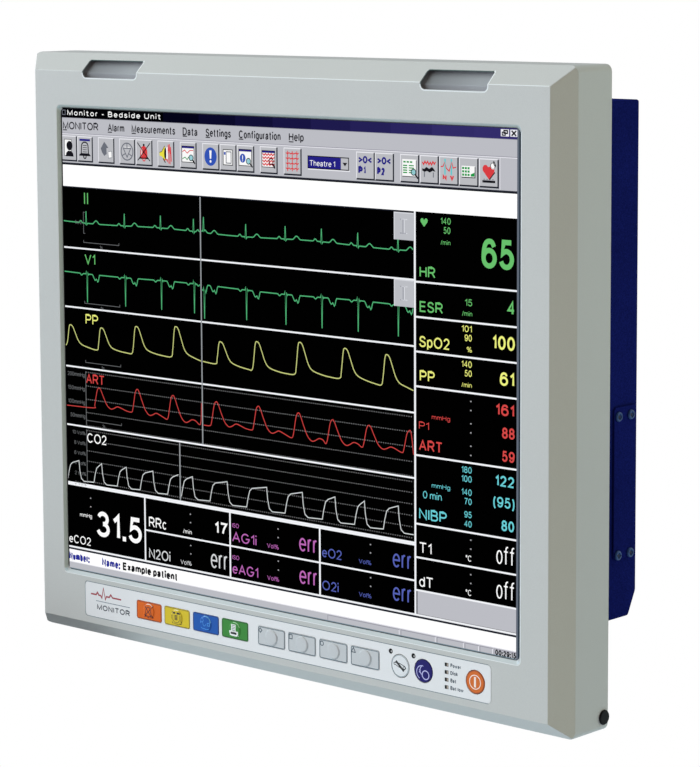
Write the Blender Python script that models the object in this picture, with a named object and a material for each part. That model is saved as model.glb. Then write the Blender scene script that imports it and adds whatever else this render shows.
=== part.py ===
"""Bedside patient monitor: a flat display-and-computer unit.

Frame: metres, +Z up, the screen looks along -Y, +X is to the viewer's right.
The origin is the centre of the rear mounting plate's back face, on the
horizontal middle of the flat front. Sizes below are in millimetres. A depth
"d" is measured backwards from the flat front face, so Y = d - DEPTH.
A span is a (low, high) pair along one axis.
"""
import math

import bmesh
import bpy
from mathutils import Matrix, Vector

for old in list(bpy.data.objects):
    bpy.data.objects.remove(old, do_unlink=True)

MM = 0.001
GAP = 0.3                      # assembly gap between neighbouring pieces
SIDES = (("right", 1), ("left", -1))

# ---- overall dimensions ------------------------------------------------------
DEPTH = 84.0                   # flat front face to the mounting plate's back
FLAT_X, FLAT_Z = 201.4, 171.3  # half sizes of the flat front face
CHAM_X, CHAM_TOP, CHAM_LOW = 10.2, 10.8, 9.4   # chamfer widths round it
CHAM_D = 11.2                  # depth of the chamfer
BEZEL_D = 40.5                 # depth of the bezel's side walls
CORNER_R = 4.0                 # radius of the bezel's four long edges
FRONT_T = 4.0                  # front wall thickness
WALL_T = 3.7                   # side wall thickness

OUT_X = FLAT_X + CHAM_X        # the bezel's outside
OUT_TOP = FLAT_Z + CHAM_TOP
OUT_LOW = -FLAT_Z - CHAM_LOW
OUT_Z = (OUT_LOW, OUT_TOP)

BOX_X = 201.0                  # rear housing half width
BOX_TOP, BOX_LOW = 161.5, -124.5
BOX_FRONT, BOX_REAR = 39.6, 80.0
BOX_CUT_D, BOX_CUT_Z = 73.2, -111.0  # start and end of the lower rear slope
BOX_T = 1.5
BOX_R = 1.2

# ---- collections ---------------------------------------------------------------
parts = bpy.data.collections.new("patient_monitor")
cutters = bpy.data.collections.new("patient_monitor_cutters")
bpy.context.scene.collection.children.link(parts)
bpy.context.scene.collection.children.link(cutters)
cutters.hide_render = True


# ---- spans and places ------------------------------------------------------------
def depth(d):
    """The Y value of a depth."""
    return d - DEPTH


def around(middle, half):
    return (middle - half, middle + half)


def inset(span, margin):
    """The span with both ends moved inwards; a negative margin widens it."""
    return (span[0] + margin, span[1] - margin)


def centre(span):
    return (span[0] + span[1]) / 2


def mirrored(side, inner, outer):
    """The X span between two distances from the middle, on side 1 or -1."""
    return tuple(side * x for x in (inner, outer)[::side])


# ---- shapes ------------------------------------------------------------------------
def shape(add):
    """Makes add(bm, ...) return a step, which adds the shape when given a bmesh."""
    def prepare(*args, **named):
        return lambda bm: add(bm, *args, **named)
    return prepare


@shape
def box(bm, x, d, z, axis=None, radius=0.0, segments=3):
    """A box over three spans, with the edges along one axis rounded."""
    size = (x[1] - x[0], d[1] - d[0], z[1] - z[0])
    middle = (centre(x), depth(centre(d)), centre(z))
    place = Matrix.Translation(middle) @ Matrix.Diagonal((*size, 1.0))
    verts = bmesh.ops.create_cube(bm, size=1.0, matrix=place)["verts"]
    if radius:
        along = "XYZ".index(axis)
        edges = {
            e for v in verts for e in v.link_edges
            if abs((e.verts[0].co - e.verts[1].co).normalized()[along]) > 0.99
        }
        bmesh.ops.bevel(bm, geom=list(edges), offset=radius, segments=segments,
                        profile=0.5, affect="EDGES")


@shape
def rod(bm, axis, span, at, radius, segments=24, end_radius=None):
    """A cylinder or cone along X, Y or Z; at holds the other two of (x, d, z)."""
    low, high = (depth(s) for s in span) if axis == "Y" else span
    middle = (low + high) / 2
    if axis == "X":
        place = (middle, depth(at[0]), at[1])
        turn = Matrix.Rotation(math.pi / 2, 4, "Y")
    elif axis == "Y":
        place = (at[0], middle, at[1])
        turn = Matrix.Rotation(-math.pi / 2, 4, "X")
    else:
        place = (at[0], depth(at[1]), middle)
        turn = Matrix.Identity(4)
    bmesh.ops.create_cone(
        bm, cap_ends=True, segments=segments, radius1=radius,
        radius2=radius if end_radius is None else end_radius,
        depth=high - low, matrix=Matrix.Translation(place) @ turn)


@shape
def frustum(bm, front, back, d, radius=0.0):
    """A box with a front face and a back face of different (x span, z span)."""
    verts = bmesh.ops.create_cube(bm, size=2.0)["verts"]
    edges = {e for v in verts for e in v.link_edges
             if abs((e.verts[0].co - e.verts[1].co).y) > 1}
    for v in verts:
        x, z = front if v.co.y < 0 else back
        v.co = Vector((x[v.co.x > 0], depth(d[v.co.y > 0]), z[v.co.z > 0]))
    if radius:
        bmesh.ops.bevel(bm, geom=list(edges), offset=radius, segments=4,
                        profile=0.5, affect="EDGES")


@shape
def prism(bm, points, x):
    """An outline of (depth, z) points, filled as a curve and extruded over x."""
    curve = bpy.data.curves.new("outline", "CURVE")
    curve.dimensions = "2D"
    curve.fill_mode = "BOTH"
    curve.extrude = (x[1] - x[0]) / 2
    spline = curve.splines.new("POLY")
    spline.points.add(len(points) - 1)
    for point, (d, z) in zip(spline.points, points):
        point.co = (depth(d), z, 0.0, 1.0)
    spline.use_cyclic_u = True
    outline = bpy.data.objects.new("outline", curve)
    bpy.context.scene.collection.objects.link(outline)
    bpy.context.view_layer.update()
    graph = bpy.context.evaluated_depsgraph_get()
    mesh = bpy.data.meshes.new_from_object(outline.evaluated_get(graph))
    bpy.data.objects.remove(outline, do_unlink=True)
    bpy.data.curves.remove(curve)
    # the curve's own x, y, z become Y, Z, X
    mesh.transform(Matrix(((0, 0, 1, centre(x)), (1, 0, 0, 0), (0, 1, 0, 0), (0, 0, 0, 1))))
    bm.from_mesh(mesh)
    bpy.data.meshes.remove(mesh)
    bmesh.ops.remove_doubles(bm, verts=bm.verts, dist=0.001)


def slots(middle, count, pitch, half_width, d, z):
    """A row of equal boxes spread along X about its middle."""
    first = middle - pitch * (count - 1) / 2
    return [box(around(first + i * pitch, half_width), d, z) for i in range(count)]


# ---- objects -------------------------------------------------------------------------
def make(name, steps, where, origin=(0.0, 0.0, 0.0)):
    """Runs the steps in millimetres and makes an object in metres."""
    bm = bmesh.new()
    for step in steps:
        step(bm)
    bmesh.ops.translate(bm, verts=bm.verts, vec=-Vector(origin))
    bmesh.ops.scale(bm, verts=bm.verts, vec=(MM, MM, MM))
    bmesh.ops.recalc_face_normals(bm, faces=bm.faces)
    mesh = bpy.data.meshes.new(name)
    bm.to_mesh(mesh)
    bm.free()
    obj = bpy.data.objects.new(name, mesh)
    obj.location = Vector(origin) * MM
    where.objects.link(obj)
    return obj


def piece(name, mat, *steps, origin=(0.0, 0.0, 0.0), smooth=False):
    """A visible part of the monitor."""
    obj = make(name, steps, parts, origin)
    obj.data.materials.append(mat)
    if smooth:
        obj.data.shade_smooth()
        obj.data.set_sharp_from_angle(angle=math.radians(35))
    return obj


def helper(name, *steps):
    """A hidden Boolean operand made of one or more shapes that stay apart."""
    obj = make("cut_" + name, steps, cutters)
    obj.hide_render = True
    obj.display_type = "WIRE"
    return obj


def boolean(obj, other, operation):
    mod = obj.modifiers.new(operation.lower() + "_" + other.name, "BOOLEAN")
    mod.operation = operation
    mod.solver = "EXACT"
    mod.object = other


def cut(obj, name, *steps):
    boolean(obj, helper(name, *steps), "DIFFERENCE")


def join(obj, name, *steps):
    boolean(obj, helper(name, *steps), "UNION")


def tube(name, mat, points, radius):
    """A cable: a bevelled poly curve through (x, depth, z) points."""
    curve = bpy.data.curves.new(name, "CURVE")
    curve.dimensions = "3D"
    curve.bevel_depth = radius * MM
    curve.bevel_resolution = 1
    curve.use_fill_caps = True
    spline = curve.splines.new("POLY")
    spline.points.add(len(points) - 1)
    for point, (x, d, z) in zip(spline.points, points):
        point.co = (x * MM, depth(d) * MM, z * MM, 1.0)
    curve.materials.append(mat)
    parts.objects.link(bpy.data.objects.new(name, curve))


# ---- materials -------------------------------------------------------------------------
def material(name, rgb, roughness, metallic=0.0, glow=None):
    mat = bpy.data.materials.new(name)
    mat.use_nodes = True
    shader = mat.node_tree.nodes["Principled BSDF"]
    shader.inputs["Base Color"].default_value = (*rgb, 1.0)
    shader.inputs["Roughness"].default_value = roughness
    shader.inputs["Metallic"].default_value = metallic
    if glow:
        shader.inputs["Emission Color"].default_value = (*glow, 1.0)
        shader.inputs["Emission Strength"].default_value = 1.0
    mat.diffuse_color = (*rgb, 1.0)
    return mat


def steel(name, roughness=0.35):
    return material(name, rgb=(0.56, 0.57, 0.58), roughness=roughness, metallic=1.0)


def board(name):
    return material(name, rgb=(0.02, 0.16, 0.07), roughness=0.6)


bezel_paint = material("bezel_paint", rgb=(0.50, 0.53, 0.53), roughness=0.5)
window_pane = material("window_pane", rgb=(0.02, 0.02, 0.025), roughness=0.12)
gasket_foam = material("gasket_foam", rgb=(0.015, 0.015, 0.016), roughness=0.9)
lcd_cell = material("lcd_cell", rgb=(0.01, 0.01, 0.012), roughness=0.25)
guide_acrylic = material("light_guide_acrylic", rgb=(0.85, 0.87, 0.88), roughness=0.2)
lamp_glass = material("lamp_glass", rgb=(0.9, 0.9, 0.9), roughness=0.15)
overlay_film = material("overlay_film", rgb=(0.71, 0.77, 0.79), roughness=0.4)
led_clear = material("led_lens", rgb=(0.02, 0.03, 0.02), roughness=0.2)
led_green = material("led_lens_lit", rgb=(0.1, 0.75, 0.15), roughness=0.2, glow=(0.05, 0.6, 0.1))
rubber = material("bumper_rubber", rgb=(0.012, 0.012, 0.013), roughness=0.75)
chassis_steel = material("chassis_steel", rgb=(0.42, 0.45, 0.46), roughness=0.45, metallic=0.3)
housing_paint = material("housing_paint", rgb=(0.006, 0.010, 0.085), roughness=0.45)
mount_paint = material("mount_plate_paint", rgb=(0.10, 0.105, 0.11), roughness=0.5, metallic=0.4)
zinc = material("screw_zinc", rgb=(0.36, 0.42, 0.58), roughness=0.35, metallic=0.7)
sink_metal = material("sink_aluminium", rgb=(0.6, 0.6, 0.62), roughness=0.4, metallic=1.0)
fan_plastic = material("fan_plastic", rgb=(0.02, 0.02, 0.022), roughness=0.5)
disk_metal = material("disk_aluminium", rgb=(0.45, 0.46, 0.47), roughness=0.35, metallic=0.9)
battery_shell = material("battery_shell", rgb=(0.03, 0.03, 0.035), roughness=0.6)
speaker_plastic = material("speaker_frame", rgb=(0.03, 0.03, 0.032), roughness=0.6)
inlet_plastic = material("inlet_plastic", rgb=(0.015, 0.015, 0.016), roughness=0.45)
brass = material("stud_brass", rgb=(0.62, 0.48, 0.22), roughness=0.3, metallic=1.0)
cable_grey = material("cable_grey", rgb=(0.2, 0.2, 0.21), roughness=0.6)
ribbon_grey = material("ribbon_grey", rgb=(0.35, 0.35, 0.36), roughness=0.6)

# ---- front bezel: shell -------------------------------------------------------------------
CAVITY_D = 13.0                # depth where the wide main cavity starts
FRONT_CAVITY_X = FLAT_X - 3.2  # half width of the narrower cavity in front of it
FRONT_CAVITY_Z = (-168.2, 168.0)
CAVITY_OVERLAP = 0.6
CHAM_REACH = 5.0               # how many chamfer depths the frustum runs back

bezel = piece("front_bezel", bezel_paint,
              box(around(0, OUT_X), (0, BEZEL_D), OUT_Z, "Y", CORNER_R, segments=4))

# the chamfer: what lies outside this frustum is cut away
boolean(bezel, helper("chamfer", frustum(
    front=(around(0, FLAT_X), around(0, FLAT_Z)),
    back=(around(0, FLAT_X + CHAM_X * CHAM_REACH),
          (-FLAT_Z - CHAM_LOW * CHAM_REACH, FLAT_Z + CHAM_TOP * CHAM_REACH)),
    d=(0, CHAM_D * CHAM_REACH))), "INTERSECT")

cut(bezel, "cavity",
    box(around(0, OUT_X - WALL_T), (CAVITY_D, BEZEL_D + 5), inset(OUT_Z, WALL_T)))
cut(bezel, "front_cavity",
    box(around(0, FRONT_CAVITY_X), (FRONT_T, CAVITY_D + CAVITY_OVERLAP), FRONT_CAVITY_Z))

# ---- front bezel: window --------------------------------------------------------------------
WIN_X, WIN_Z = 182.4, (-142.0, 150.4)  # outer edge of the window lip
LIP = 2.0                      # 45 degree lip, width and depth
LIP_R = 2.6                    # corner radius of the lip
LIP_LEAD = 1.0                 # how far the lip's cutter stands out in front
LIP_SLACK = 0.01               # keeps its back end just inside the opening
PANE_D, PANE_T = 2.6, 2.0      # window pane: depth of its face, thickness
PANE_MARGIN = 1.2              # how far the pane reaches beyond the lip's edge
REBATE_MARGIN = 1.6            # the same for its rebate
WIN_CUT_END = FRONT_T + 1.0    # behind the front wall

cut(bezel, "window", frustum(
    front=(around(0, WIN_X + LIP_LEAD), inset(WIN_Z, -LIP_LEAD)),
    back=(around(0, WIN_X - LIP - LIP_SLACK), inset(WIN_Z, LIP + LIP_SLACK)),
    d=(-LIP_LEAD, LIP), radius=LIP_R))
cut(bezel, "window_through",
    box(around(0, WIN_X - LIP), (LIP - 0.4, WIN_CUT_END), inset(WIN_Z, LIP),
        "Y", LIP_R, segments=4))
# the rebate holds the pane from behind
cut(bezel, "pane_rebate",
    box(around(0, WIN_X + REBATE_MARGIN), (PANE_D - GAP, WIN_CUT_END),
        inset(WIN_Z, -REBATE_MARGIN)))

# ---- keypad layout ------------------------------------------------------------------------------
PAD_X, PAD_Z = (-163.1, 162.1), (-166.7, -145.4)  # keypad recess
PAD_REC = 0.9                  # its depth
PAD_R = 2.2
KEY_W, KEY_H, KEY_Z, KEY_R = 21.4, 11.0, -156.0, 1.1
KEY_D = (-0.3, 0.9)            # depths of a key cap's face and back
POCKET_GAP, POCKET_D = 0.35, (0.3, 1.75)
DOME_R, DOME_H = 5.2, 0.75     # raised dome on a key
ROUND_R, ROUND_Z = 6.6, -156.3  # round keys
POST_R, POST_D = 3.0, (0.5, 4.7)  # plunger behind each key
POST_GAP = 0.4
HOLE_END = FRONT_T + 2.0       # plunger and LED holes end behind the front wall
FILM_CUT_D = (-1.0, 2.0)       # cuts through the overlay
LED_R = 1.45                   # round LEDs
LED_X, LED_W, LED_H = 130.6, 2.9, 2.4  # column of rectangular LEDs
LED_D = (-0.15, 4.6)

SOFTKEY_RGB = (0.61, 0.66, 0.68)
KEYS = (                       # name, x, colour
    ("key_alarm_silence", -106.2, (0.82, 0.14, 0.025)),
    ("key_event", -81.9, (0.73, 0.58, 0.03)),
    ("key_cuff_pressure", -57.4, (0.02, 0.11, 0.51)),
    ("key_print", -33.1, (0.035, 0.26, 0.04)),
    ("softkey_diamond", -3.2, SOFTKEY_RGB),
    ("softkey_square", 21.2, SOFTKEY_RGB),
    ("softkey_circle", 45.8, SOFTKEY_RGB),
    ("softkey_triangle", 70.2, SOFTKEY_RGB),
)
ROUND_KEYS = (                 # name, x, colour
    ("key_mute", 96.7, (0.72, 0.77, 0.79)),
    ("key_standby", 113.8, (0.026, 0.016, 0.2)),
    ("key_power", 151.2, (0.68, 0.14, 0.025)),
)
LED_DOTS = (("led_silence", 89.5, -148.9), ("led_standby", 106.4, -148.9))  # name, x, z
LED_BARS = (                   # name, z
    ("led_mains", -149.9), ("led_disk", -154.15),
    ("led_battery", -158.4), ("led_battery_low", -162.65),
)


def key_body(x, d, grow=0.0):
    return box(around(x, KEY_W / 2 + grow), d, around(KEY_Z, KEY_H / 2 + grow),
               "Y", KEY_R + grow)


def round_body(x, d, grow=0.0):
    return rod("Y", d, (x, ROUND_Z), ROUND_R + grow, segments=32)


def key_post(x, z, d=POST_D, grow=0.0):
    return rod("Y", d, (x, z), POST_R + grow, segments=12)


def led_dot(x, z, d=LED_D, grow=0.0):
    return rod("Y", d, (x, z), LED_R + grow, segments=16)


def led_bar(z, d=LED_D, grow=0.0):
    return box(around(LED_X, LED_W / 2 + grow), d, around(z, LED_H / 2 + grow))


def all_keys(d, grow):
    return ([key_body(x, d, grow) for _, x, _ in KEYS]
            + [round_body(x, d, grow) for _, x, _ in ROUND_KEYS])


def all_posts(d, grow):
    return ([key_post(x, KEY_Z, d, grow) for _, x, _ in KEYS]
            + [key_post(x, ROUND_Z, d, grow) for _, x, _ in ROUND_KEYS])


def all_leds(d, grow):
    return ([led_dot(x, z, d, grow) for _, x, z in LED_DOTS]
            + [led_bar(z, d, grow) for _, z in LED_BARS])


# ---- front bezel: keypad recess ------------------------------------------------------------------
cut(bezel, "keypad_recess", box(PAD_X, (-1.0, PAD_REC), PAD_Z, "Y", PAD_R))
cut(bezel, "key_pockets", *all_keys(POCKET_D, POCKET_GAP))
cut(bezel, "plunger_holes", *all_posts((0.4, HOLE_END), POST_GAP))
cut(bezel, "led_holes", *all_leds((0.2, HOLE_END), GAP))

# ---- front bezel: two finger recesses across the upper chamfer --------------------------------------
GRIP_W = 47.0
GRIP_X = (("left", -134.8), ("right", 135.6))
GRIP_LOW, GRIP_TOP, GRIP_DEEP = 167.4, 177.7, 2.5
GRIP_LOW_R, GRIP_TOP_R = 3.0, 0.8  # corner radii
GRIP_FRONT = -2.0              # the cutter starts in front of the flat face


def grip_outline():
    """(depth, z) points of a recess of even depth below flat face and chamfer."""
    slope = math.atan2(CHAM_TOP, CHAM_D)
    inward = Vector((math.sin(slope), -math.cos(slope)))
    along = Vector((math.cos(slope), math.sin(slope)))
    start = Vector((0.0, FLAT_Z)) + inward * GRIP_DEEP
    kink = start + along * ((GRIP_DEEP - start.x) / along.x)
    upper = start + along * ((GRIP_TOP - start.y) / along.y)
    return [(GRIP_FRONT, GRIP_LOW), (GRIP_DEEP, GRIP_LOW), tuple(kink), tuple(upper),
            (GRIP_FRONT, GRIP_TOP)]


@shape
def grip(bm, x):
    prism(grip_outline(), around(x, GRIP_W / 2))(bm)
    lengthwise = [e for e in bm.edges if abs(e.verts[0].co.y - e.verts[1].co.y) > 1]
    low = [e for e in lengthwise if all(v.co.z < GRIP_LOW + 0.1 for v in e.verts)]
    high = [e for e in lengthwise if all(v.co.z > GRIP_TOP - 0.1 for v in e.verts)]
    for edges, radius, segments in ((low, GRIP_LOW_R, 5), (high, GRIP_TOP_R, 2)):
        bmesh.ops.bevel(bm, geom=edges, offset=radius, segments=segments,
                        profile=0.5, affect="EDGES")


for label, x in GRIP_X:
    cut(bezel, "grip_" + label, grip(x))

# ---- front bezel: bumper bores and the loudspeaker's slots underneath --------------------------------
BUMP_AT = (36.2, -172.8)       # depth and z of the corner bumpers
BUMP_R, BUMP_RIM = 4.3, 0.5    # head radius, and how much it tapers outwards
BUMP_T = 1.0
STEM_R, BORE_R, NOTCH_R = 2.6, 2.9, 3.2
SPEAKER_X, SPEAKER_D = -120.0, (15.5, 34.0)

cut(bezel, "bumper_bores",
    *[rod("X", mirrored(side, OUT_X - 8, OUT_X + 2), BUMP_AT, BORE_R, segments=16)
      for _, side in SIDES])
cut(bezel, "sound_slots",
    *slots(SPEAKER_X, count=8, pitch=5.0, half_width=0.8, d=(18.0, 32.0),
           z=(OUT_LOW - 2, OUT_LOW + WALL_T + 1)))

# ---- screen stack, front to back ------------------------------------------------------------------------
LCD_Z = 4.3                    # height of the screen's middle
LCD_D, LCD_T = 6.7, 2.5        # LCD cell: depth of its face, thickness
LCD_HALF_Z = 152.4
GASKET_X, GASKET_Z, GASKET_RIM = 188.0, 152.0, 7.0  # half sizes, border width
GUIDE_D = (9.8, 17.8)
LAMP_R, LAMP_OFFSET = 1.8, 148.8  # lamps above and below the screen's middle
TRAY_X, TRAY_D, TRAY_T = 190.0, (9.5, 21.0), 1.0

piece("screen_window", window_pane,
      box(around(0, WIN_X + PANE_MARGIN), (PANE_D, PANE_D + PANE_T), inset(WIN_Z, -PANE_MARGIN)))

gasket = piece("window_gasket", gasket_foam,
               box(around(0, GASKET_X), (4.9, 6.4), around(LCD_Z, GASKET_Z)))
cut(gasket, "gasket_opening",
    box(around(0, GASKET_X - GASKET_RIM), (4.0, 7.0), around(LCD_Z, GASKET_Z - GASKET_RIM)))

piece("lcd_panel", lcd_cell,
      box(around(0, 187.5), (LCD_D, LCD_D + LCD_T), around(LCD_Z, LCD_HALF_Z)))
piece("light_guide", guide_acrylic, box(around(0, 183.0), GUIDE_D, around(LCD_Z, 146.0)))
for label, z in (("upper", LCD_Z + LAMP_OFFSET), ("lower", LCD_Z - LAMP_OFFSET)):
    piece("backlight_lamp_" + label, lamp_glass,
          rod("X", around(0, 181.0), (centre(GUIDE_D), z), LAMP_R, segments=12), smooth=True)

# a tray, open to the front
tray = piece("lcd_rear_cover", steel("lcd_steel"),
             box(around(0, TRAY_X), TRAY_D, around(LCD_Z, LCD_HALF_Z)))
cut(tray, "tray_hollow",
    box(around(0, TRAY_X - TRAY_T), (8.0, TRAY_D[1] - TRAY_T),
        around(LCD_Z, LCD_HALF_Z - TRAY_T)))
piece("backlight_inverter", board("inverter_board"),
      box(x=(-90.0, 70.0), d=(7.0, 12.4), z=(158.6, 166.6)))

# ---- keypad -----------------------------------------------------------------------------------------------
overlay = piece("keypad_overlay", overlay_film,
                box(inset(PAD_X, GAP), (-0.1, PAD_REC - GAP), inset(PAD_Z, GAP),
                    "Y", PAD_R - GAP))
cut(overlay, "overlay_keys", *all_keys(FILM_CUT_D, GAP))
cut(overlay, "overlay_leds", *all_leds(FILM_CUT_D, GAP))


@shape
def dome(bm, x):
    """A flattened ball centred on a key's face."""
    size = Matrix.Diagonal((DOME_R, DOME_H, DOME_R, 1.0)) @ Matrix.Rotation(math.pi / 2, 4, "X")
    place = Matrix.Translation((x, depth(KEY_D[0]), KEY_Z))
    bmesh.ops.create_uvsphere(bm, u_segments=20, v_segments=8, radius=1.0, matrix=place @ size)


def key_cap(name, rgb, body, x, z):
    return piece(name, material(name + "_plastic", rgb=rgb, roughness=0.4), body,
                 origin=(x, depth(KEY_D[0]), z))


for name, x, rgb in KEYS:
    cap = key_cap(name, rgb, key_body(x, KEY_D), x, KEY_Z)
    join(cap, name + "_dome", dome(x))
    join(cap, name + "_post", key_post(x, KEY_Z))

for name, x, rgb in ROUND_KEYS:
    cap = key_cap(name, rgb, round_body(x, KEY_D), x, ROUND_Z)
    join(cap, name + "_post", key_post(x, ROUND_Z))

for name, x, z in LED_DOTS:
    piece(name, led_clear, led_dot(x, z), smooth=True)
for name, z in LED_BARS:
    piece(name, led_green if name == "led_mains" else led_clear, led_bar(z))

piece("dome_sheet", steel("dome_steel", roughness=0.3),
      box(x=(-119.0, 160.0), d=(5.45, 5.8), z=(-164.0, -149.4)))
piece("keypad_board", board("keypad_board_green"),
      box(x=(-160.0, 160.0), d=(6.1, 7.7), z=(-166.6, -149.0)))

# ---- rubber bumpers in the bezel's lower rear corners --------------------------------------------------------
for label, side in SIDES:
    start_r, end_r = (BUMP_R, BUMP_R - BUMP_RIM)[::side]
    bumper = piece("corner_bumper_" + label, rubber,
                   rod("X", mirrored(side, OUT_X + GAP, OUT_X + GAP + BUMP_T), BUMP_AT,
                       start_r, segments=28, end_radius=end_r),
                   origin=(side * OUT_X, depth(BUMP_AT[0]), BUMP_AT[1]), smooth=True)
    join(bumper, "bumper_stem_" + label,
         rod("X", mirrored(side, OUT_X - 6.5, OUT_X + 0.8), BUMP_AT, STEM_R, segments=16))

# ---- steel chassis plate that closes the bezel from behind ------------------------------------------------------
chassis = piece("chassis_plate", chassis_steel,
                box(around(0, OUT_X - WALL_T - GAP), (37.8, 39.3), inset(OUT_Z, WALL_T + GAP)))
cut(chassis, "chassis_opening", box(x=(-120.0, 120.0), d=(30.0, 45.0), z=(-60.0, 100.0)))
# room for the bumper stems
cut(chassis, "chassis_notches",
    *[rod("X", mirrored(side, 202.0, 214.0), BUMP_AT, NOTCH_R, segments=12)
      for _, side in SIDES])

# ---- rear housing: shell --------------------------------------------------------------------------------------------


def box_outline(margin, front):
    """(depth, z) outline of the housing, inset evenly by margin."""
    low = BOX_LOW + margin
    rear = BOX_REAR - margin
    ramp = Vector((BOX_REAR - BOX_CUT_D, BOX_CUT_Z - BOX_LOW))
    # how far the slope's lower and upper ends move when it is inset
    shift = margin * (ramp.length - ramp.y) / ramp.x
    rise = margin * (ramp.length - ramp.x) / ramp.y
    return [(front, low), (BOX_CUT_D - shift, low), (rear, BOX_CUT_Z + rise),
            (rear, BOX_TOP - margin), (front, BOX_TOP - margin)]


def housing_body(bm):
    """The solid outside, rounded except round its front end."""
    prism(box_outline(0.0, BOX_FRONT), around(0, BOX_X))(bm)
    bmesh.ops.dissolve_limit(bm, angle_limit=0.01, verts=bm.verts, edges=bm.edges)
    outer = [e for e in bm.edges if not all(v.co.y < depth(BOX_FRONT) + 0.1 for v in e.verts)]
    bmesh.ops.bevel(bm, geom=outer, offset=BOX_R, segments=2, profile=0.5, affect="EDGES")


housing = piece("rear_housing", housing_paint, housing_body)
cut(housing, "housing_hollow",
    prism(box_outline(BOX_T, BOX_FRONT - 5.0), around(0, BOX_X - BOX_T)))

# ---- rear housing: vents ------------------------------------------------------------------------------------------------
VENT = {"pitch": 10.0, "half_width": 1.5}
REAR_CUT_D = (76.0, 84.0)      # through the rear wall
FAN_X, FAN_Z = -130.0, 100.0
FAN_VENT_R, FAN_VENT_PITCH, FAN_VENT_HALF_H = 28.0, 6.0, 1.4


def fan_vents():
    """Horizontal slots that fill a circle behind the fan."""
    rows = []
    for i in range(9):
        offset = (i - 4) * FAN_VENT_PITCH
        half_length = math.sqrt(FAN_VENT_R ** 2 - offset ** 2)
        rows.append(box(around(FAN_X, half_length), REAR_CUT_D,
                        around(FAN_Z + offset, FAN_VENT_HALF_H)))
    return rows


cut(housing, "top_vents",
    *slots(0.0, count=23, d=(48.0, 70.0), z=(BOX_TOP - 4, BOX_TOP + 2), **VENT))
cut(housing, "low_vents",
    *slots(-137.0, count=10, d=(48.0, 68.0), z=(BOX_LOW - 2, BOX_LOW + 4), **VENT))
cut(housing, "rear_vents",
    *fan_vents(), *slots(140.0, count=9, d=REAR_CUT_D, z=(84.0, 124.0), **VENT))

# ---- rear housing: screw bores and socket openings -------------------------------------------------------------------------
SCREW_D, SCREW_Z = (60.5, 71.7), (-88.2, -11.0)  # places of the side screws
MODULE_X, NET_X, EARTH_X, INLET_X = (-56.0, -16.0), (2.0, 18.0), 44.0, (98.0, 126.0)
SOCKET_D, INLET_D = (53.0, 67.0), (50.0, 70.0)
EARTH_AT = (EARTH_X, centre(SOCKET_D))
STUD_R = 3.0
FLOOR_CUT_Z = (BOX_LOW - 3, BOX_LOW + 4)  # through the housing's floor

screw_bores = helper("screw_bores", *[
    rod("X", mirrored(side, BOX_X - 5, BOX_X + 4), (d, z), 1.7, segments=12)
    for _, side in SIDES for d in SCREW_D for z in SCREW_Z])
boolean(housing, screw_bores, "DIFFERENCE")
cut(housing, "port_openings",
    box(inset(MODULE_X, -GAP), inset(SOCKET_D, -GAP), FLOOR_CUT_Z),
    box(inset(NET_X, -GAP), inset(SOCKET_D, -GAP), FLOOR_CUT_Z),
    rod("Z", FLOOR_CUT_Z, EARTH_AT, STUD_R + GAP, segments=16),
    box(inset(INLET_X, -GAP), inset(INLET_D, -GAP), FLOOR_CUT_Z))

# ---- rear mounting plate --------------------------------------------------------------------------------------------------------
PLATE = 65.0                   # half size
VESA = 50.0                    # half pitch of its four bores

plate = piece("back_mount_plate", mount_paint,
              box(around(0, PLATE), (BOX_REAR + GAP, DEPTH), around(0, PLATE),
                  "Y", 6.0, segments=4))
cut(plate, "vesa_bores",
    *[rod("Y", (BOX_REAR - 2, DEPTH + 2), (x, z), 2.1, segments=16)
      for x in (-VESA, VESA) for z in (-VESA, VESA)])

# ---- side plates and their cross-slotted screws -------------------------------------------------------------------------------------
SIDE_D, SIDE_Z, SIDE_T = (57.2, 77.4), (-90.6, -5.9), 1.0
HEAD_R, HEAD_RIM_R, HEAD_T = 2.7, 2.1, 1.2  # head radius at its base and outside
HEAD_X = BOX_X + 2 * GAP + SIDE_T  # underside of a head
SHANK_R = 1.4
CROSS_LONG, CROSS_THIN = 1.5, 0.33  # half sizes of a slot


def side_screw(name, side, d, z):
    start_r, end_r = (HEAD_R, HEAD_RIM_R)[::side]
    screw = piece("side_screw_" + name, zinc,
                  rod("X", mirrored(side, HEAD_X, HEAD_X + HEAD_T), (d, z), start_r,
                      segments=20, end_radius=end_r),
                  origin=(side * HEAD_X, depth(d), z), smooth=True)
    join(screw, "screw_shank_" + name,
         rod("X", mirrored(side, HEAD_X - 6.0, HEAD_X + 0.5), (d, z), SHANK_R, segments=10))
    slot_x = mirrored(side, HEAD_X + 0.5, HEAD_X + 3)
    cut(screw, f"screw_slot_{name}a", box(slot_x, around(d, CROSS_LONG), around(z, CROSS_THIN)))
    cut(screw, f"screw_slot_{name}b", box(slot_x, around(d, CROSS_THIN), around(z, CROSS_LONG)))


for label, side in SIDES:
    cover = piece("side_plate_" + label, housing_paint,
                  box(mirrored(side, BOX_X + GAP, BOX_X + GAP + SIDE_T), SIDE_D, SIDE_Z, "X", 2.0))
    boolean(cover, screw_bores, "DIFFERENCE")
    for i, (d, z) in enumerate((d, z) for z in SCREW_Z for d in SCREW_D):
        side_screw(f"{label}_{i + 1}", side, d, z)

# ---- main board and heat sink ------------------------------------------------------------------------------------------------------------
piece("main_board", board("main_board_green"),
      box(x=(-190.0, 40.0), d=(48.0, 49.6), z=(-60.0, 140.0)))

sink = piece("cpu_heat_sink", sink_metal,
             box(around(FAN_X, 28), (50.0, 60.5), around(FAN_Z, 28)))
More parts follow.
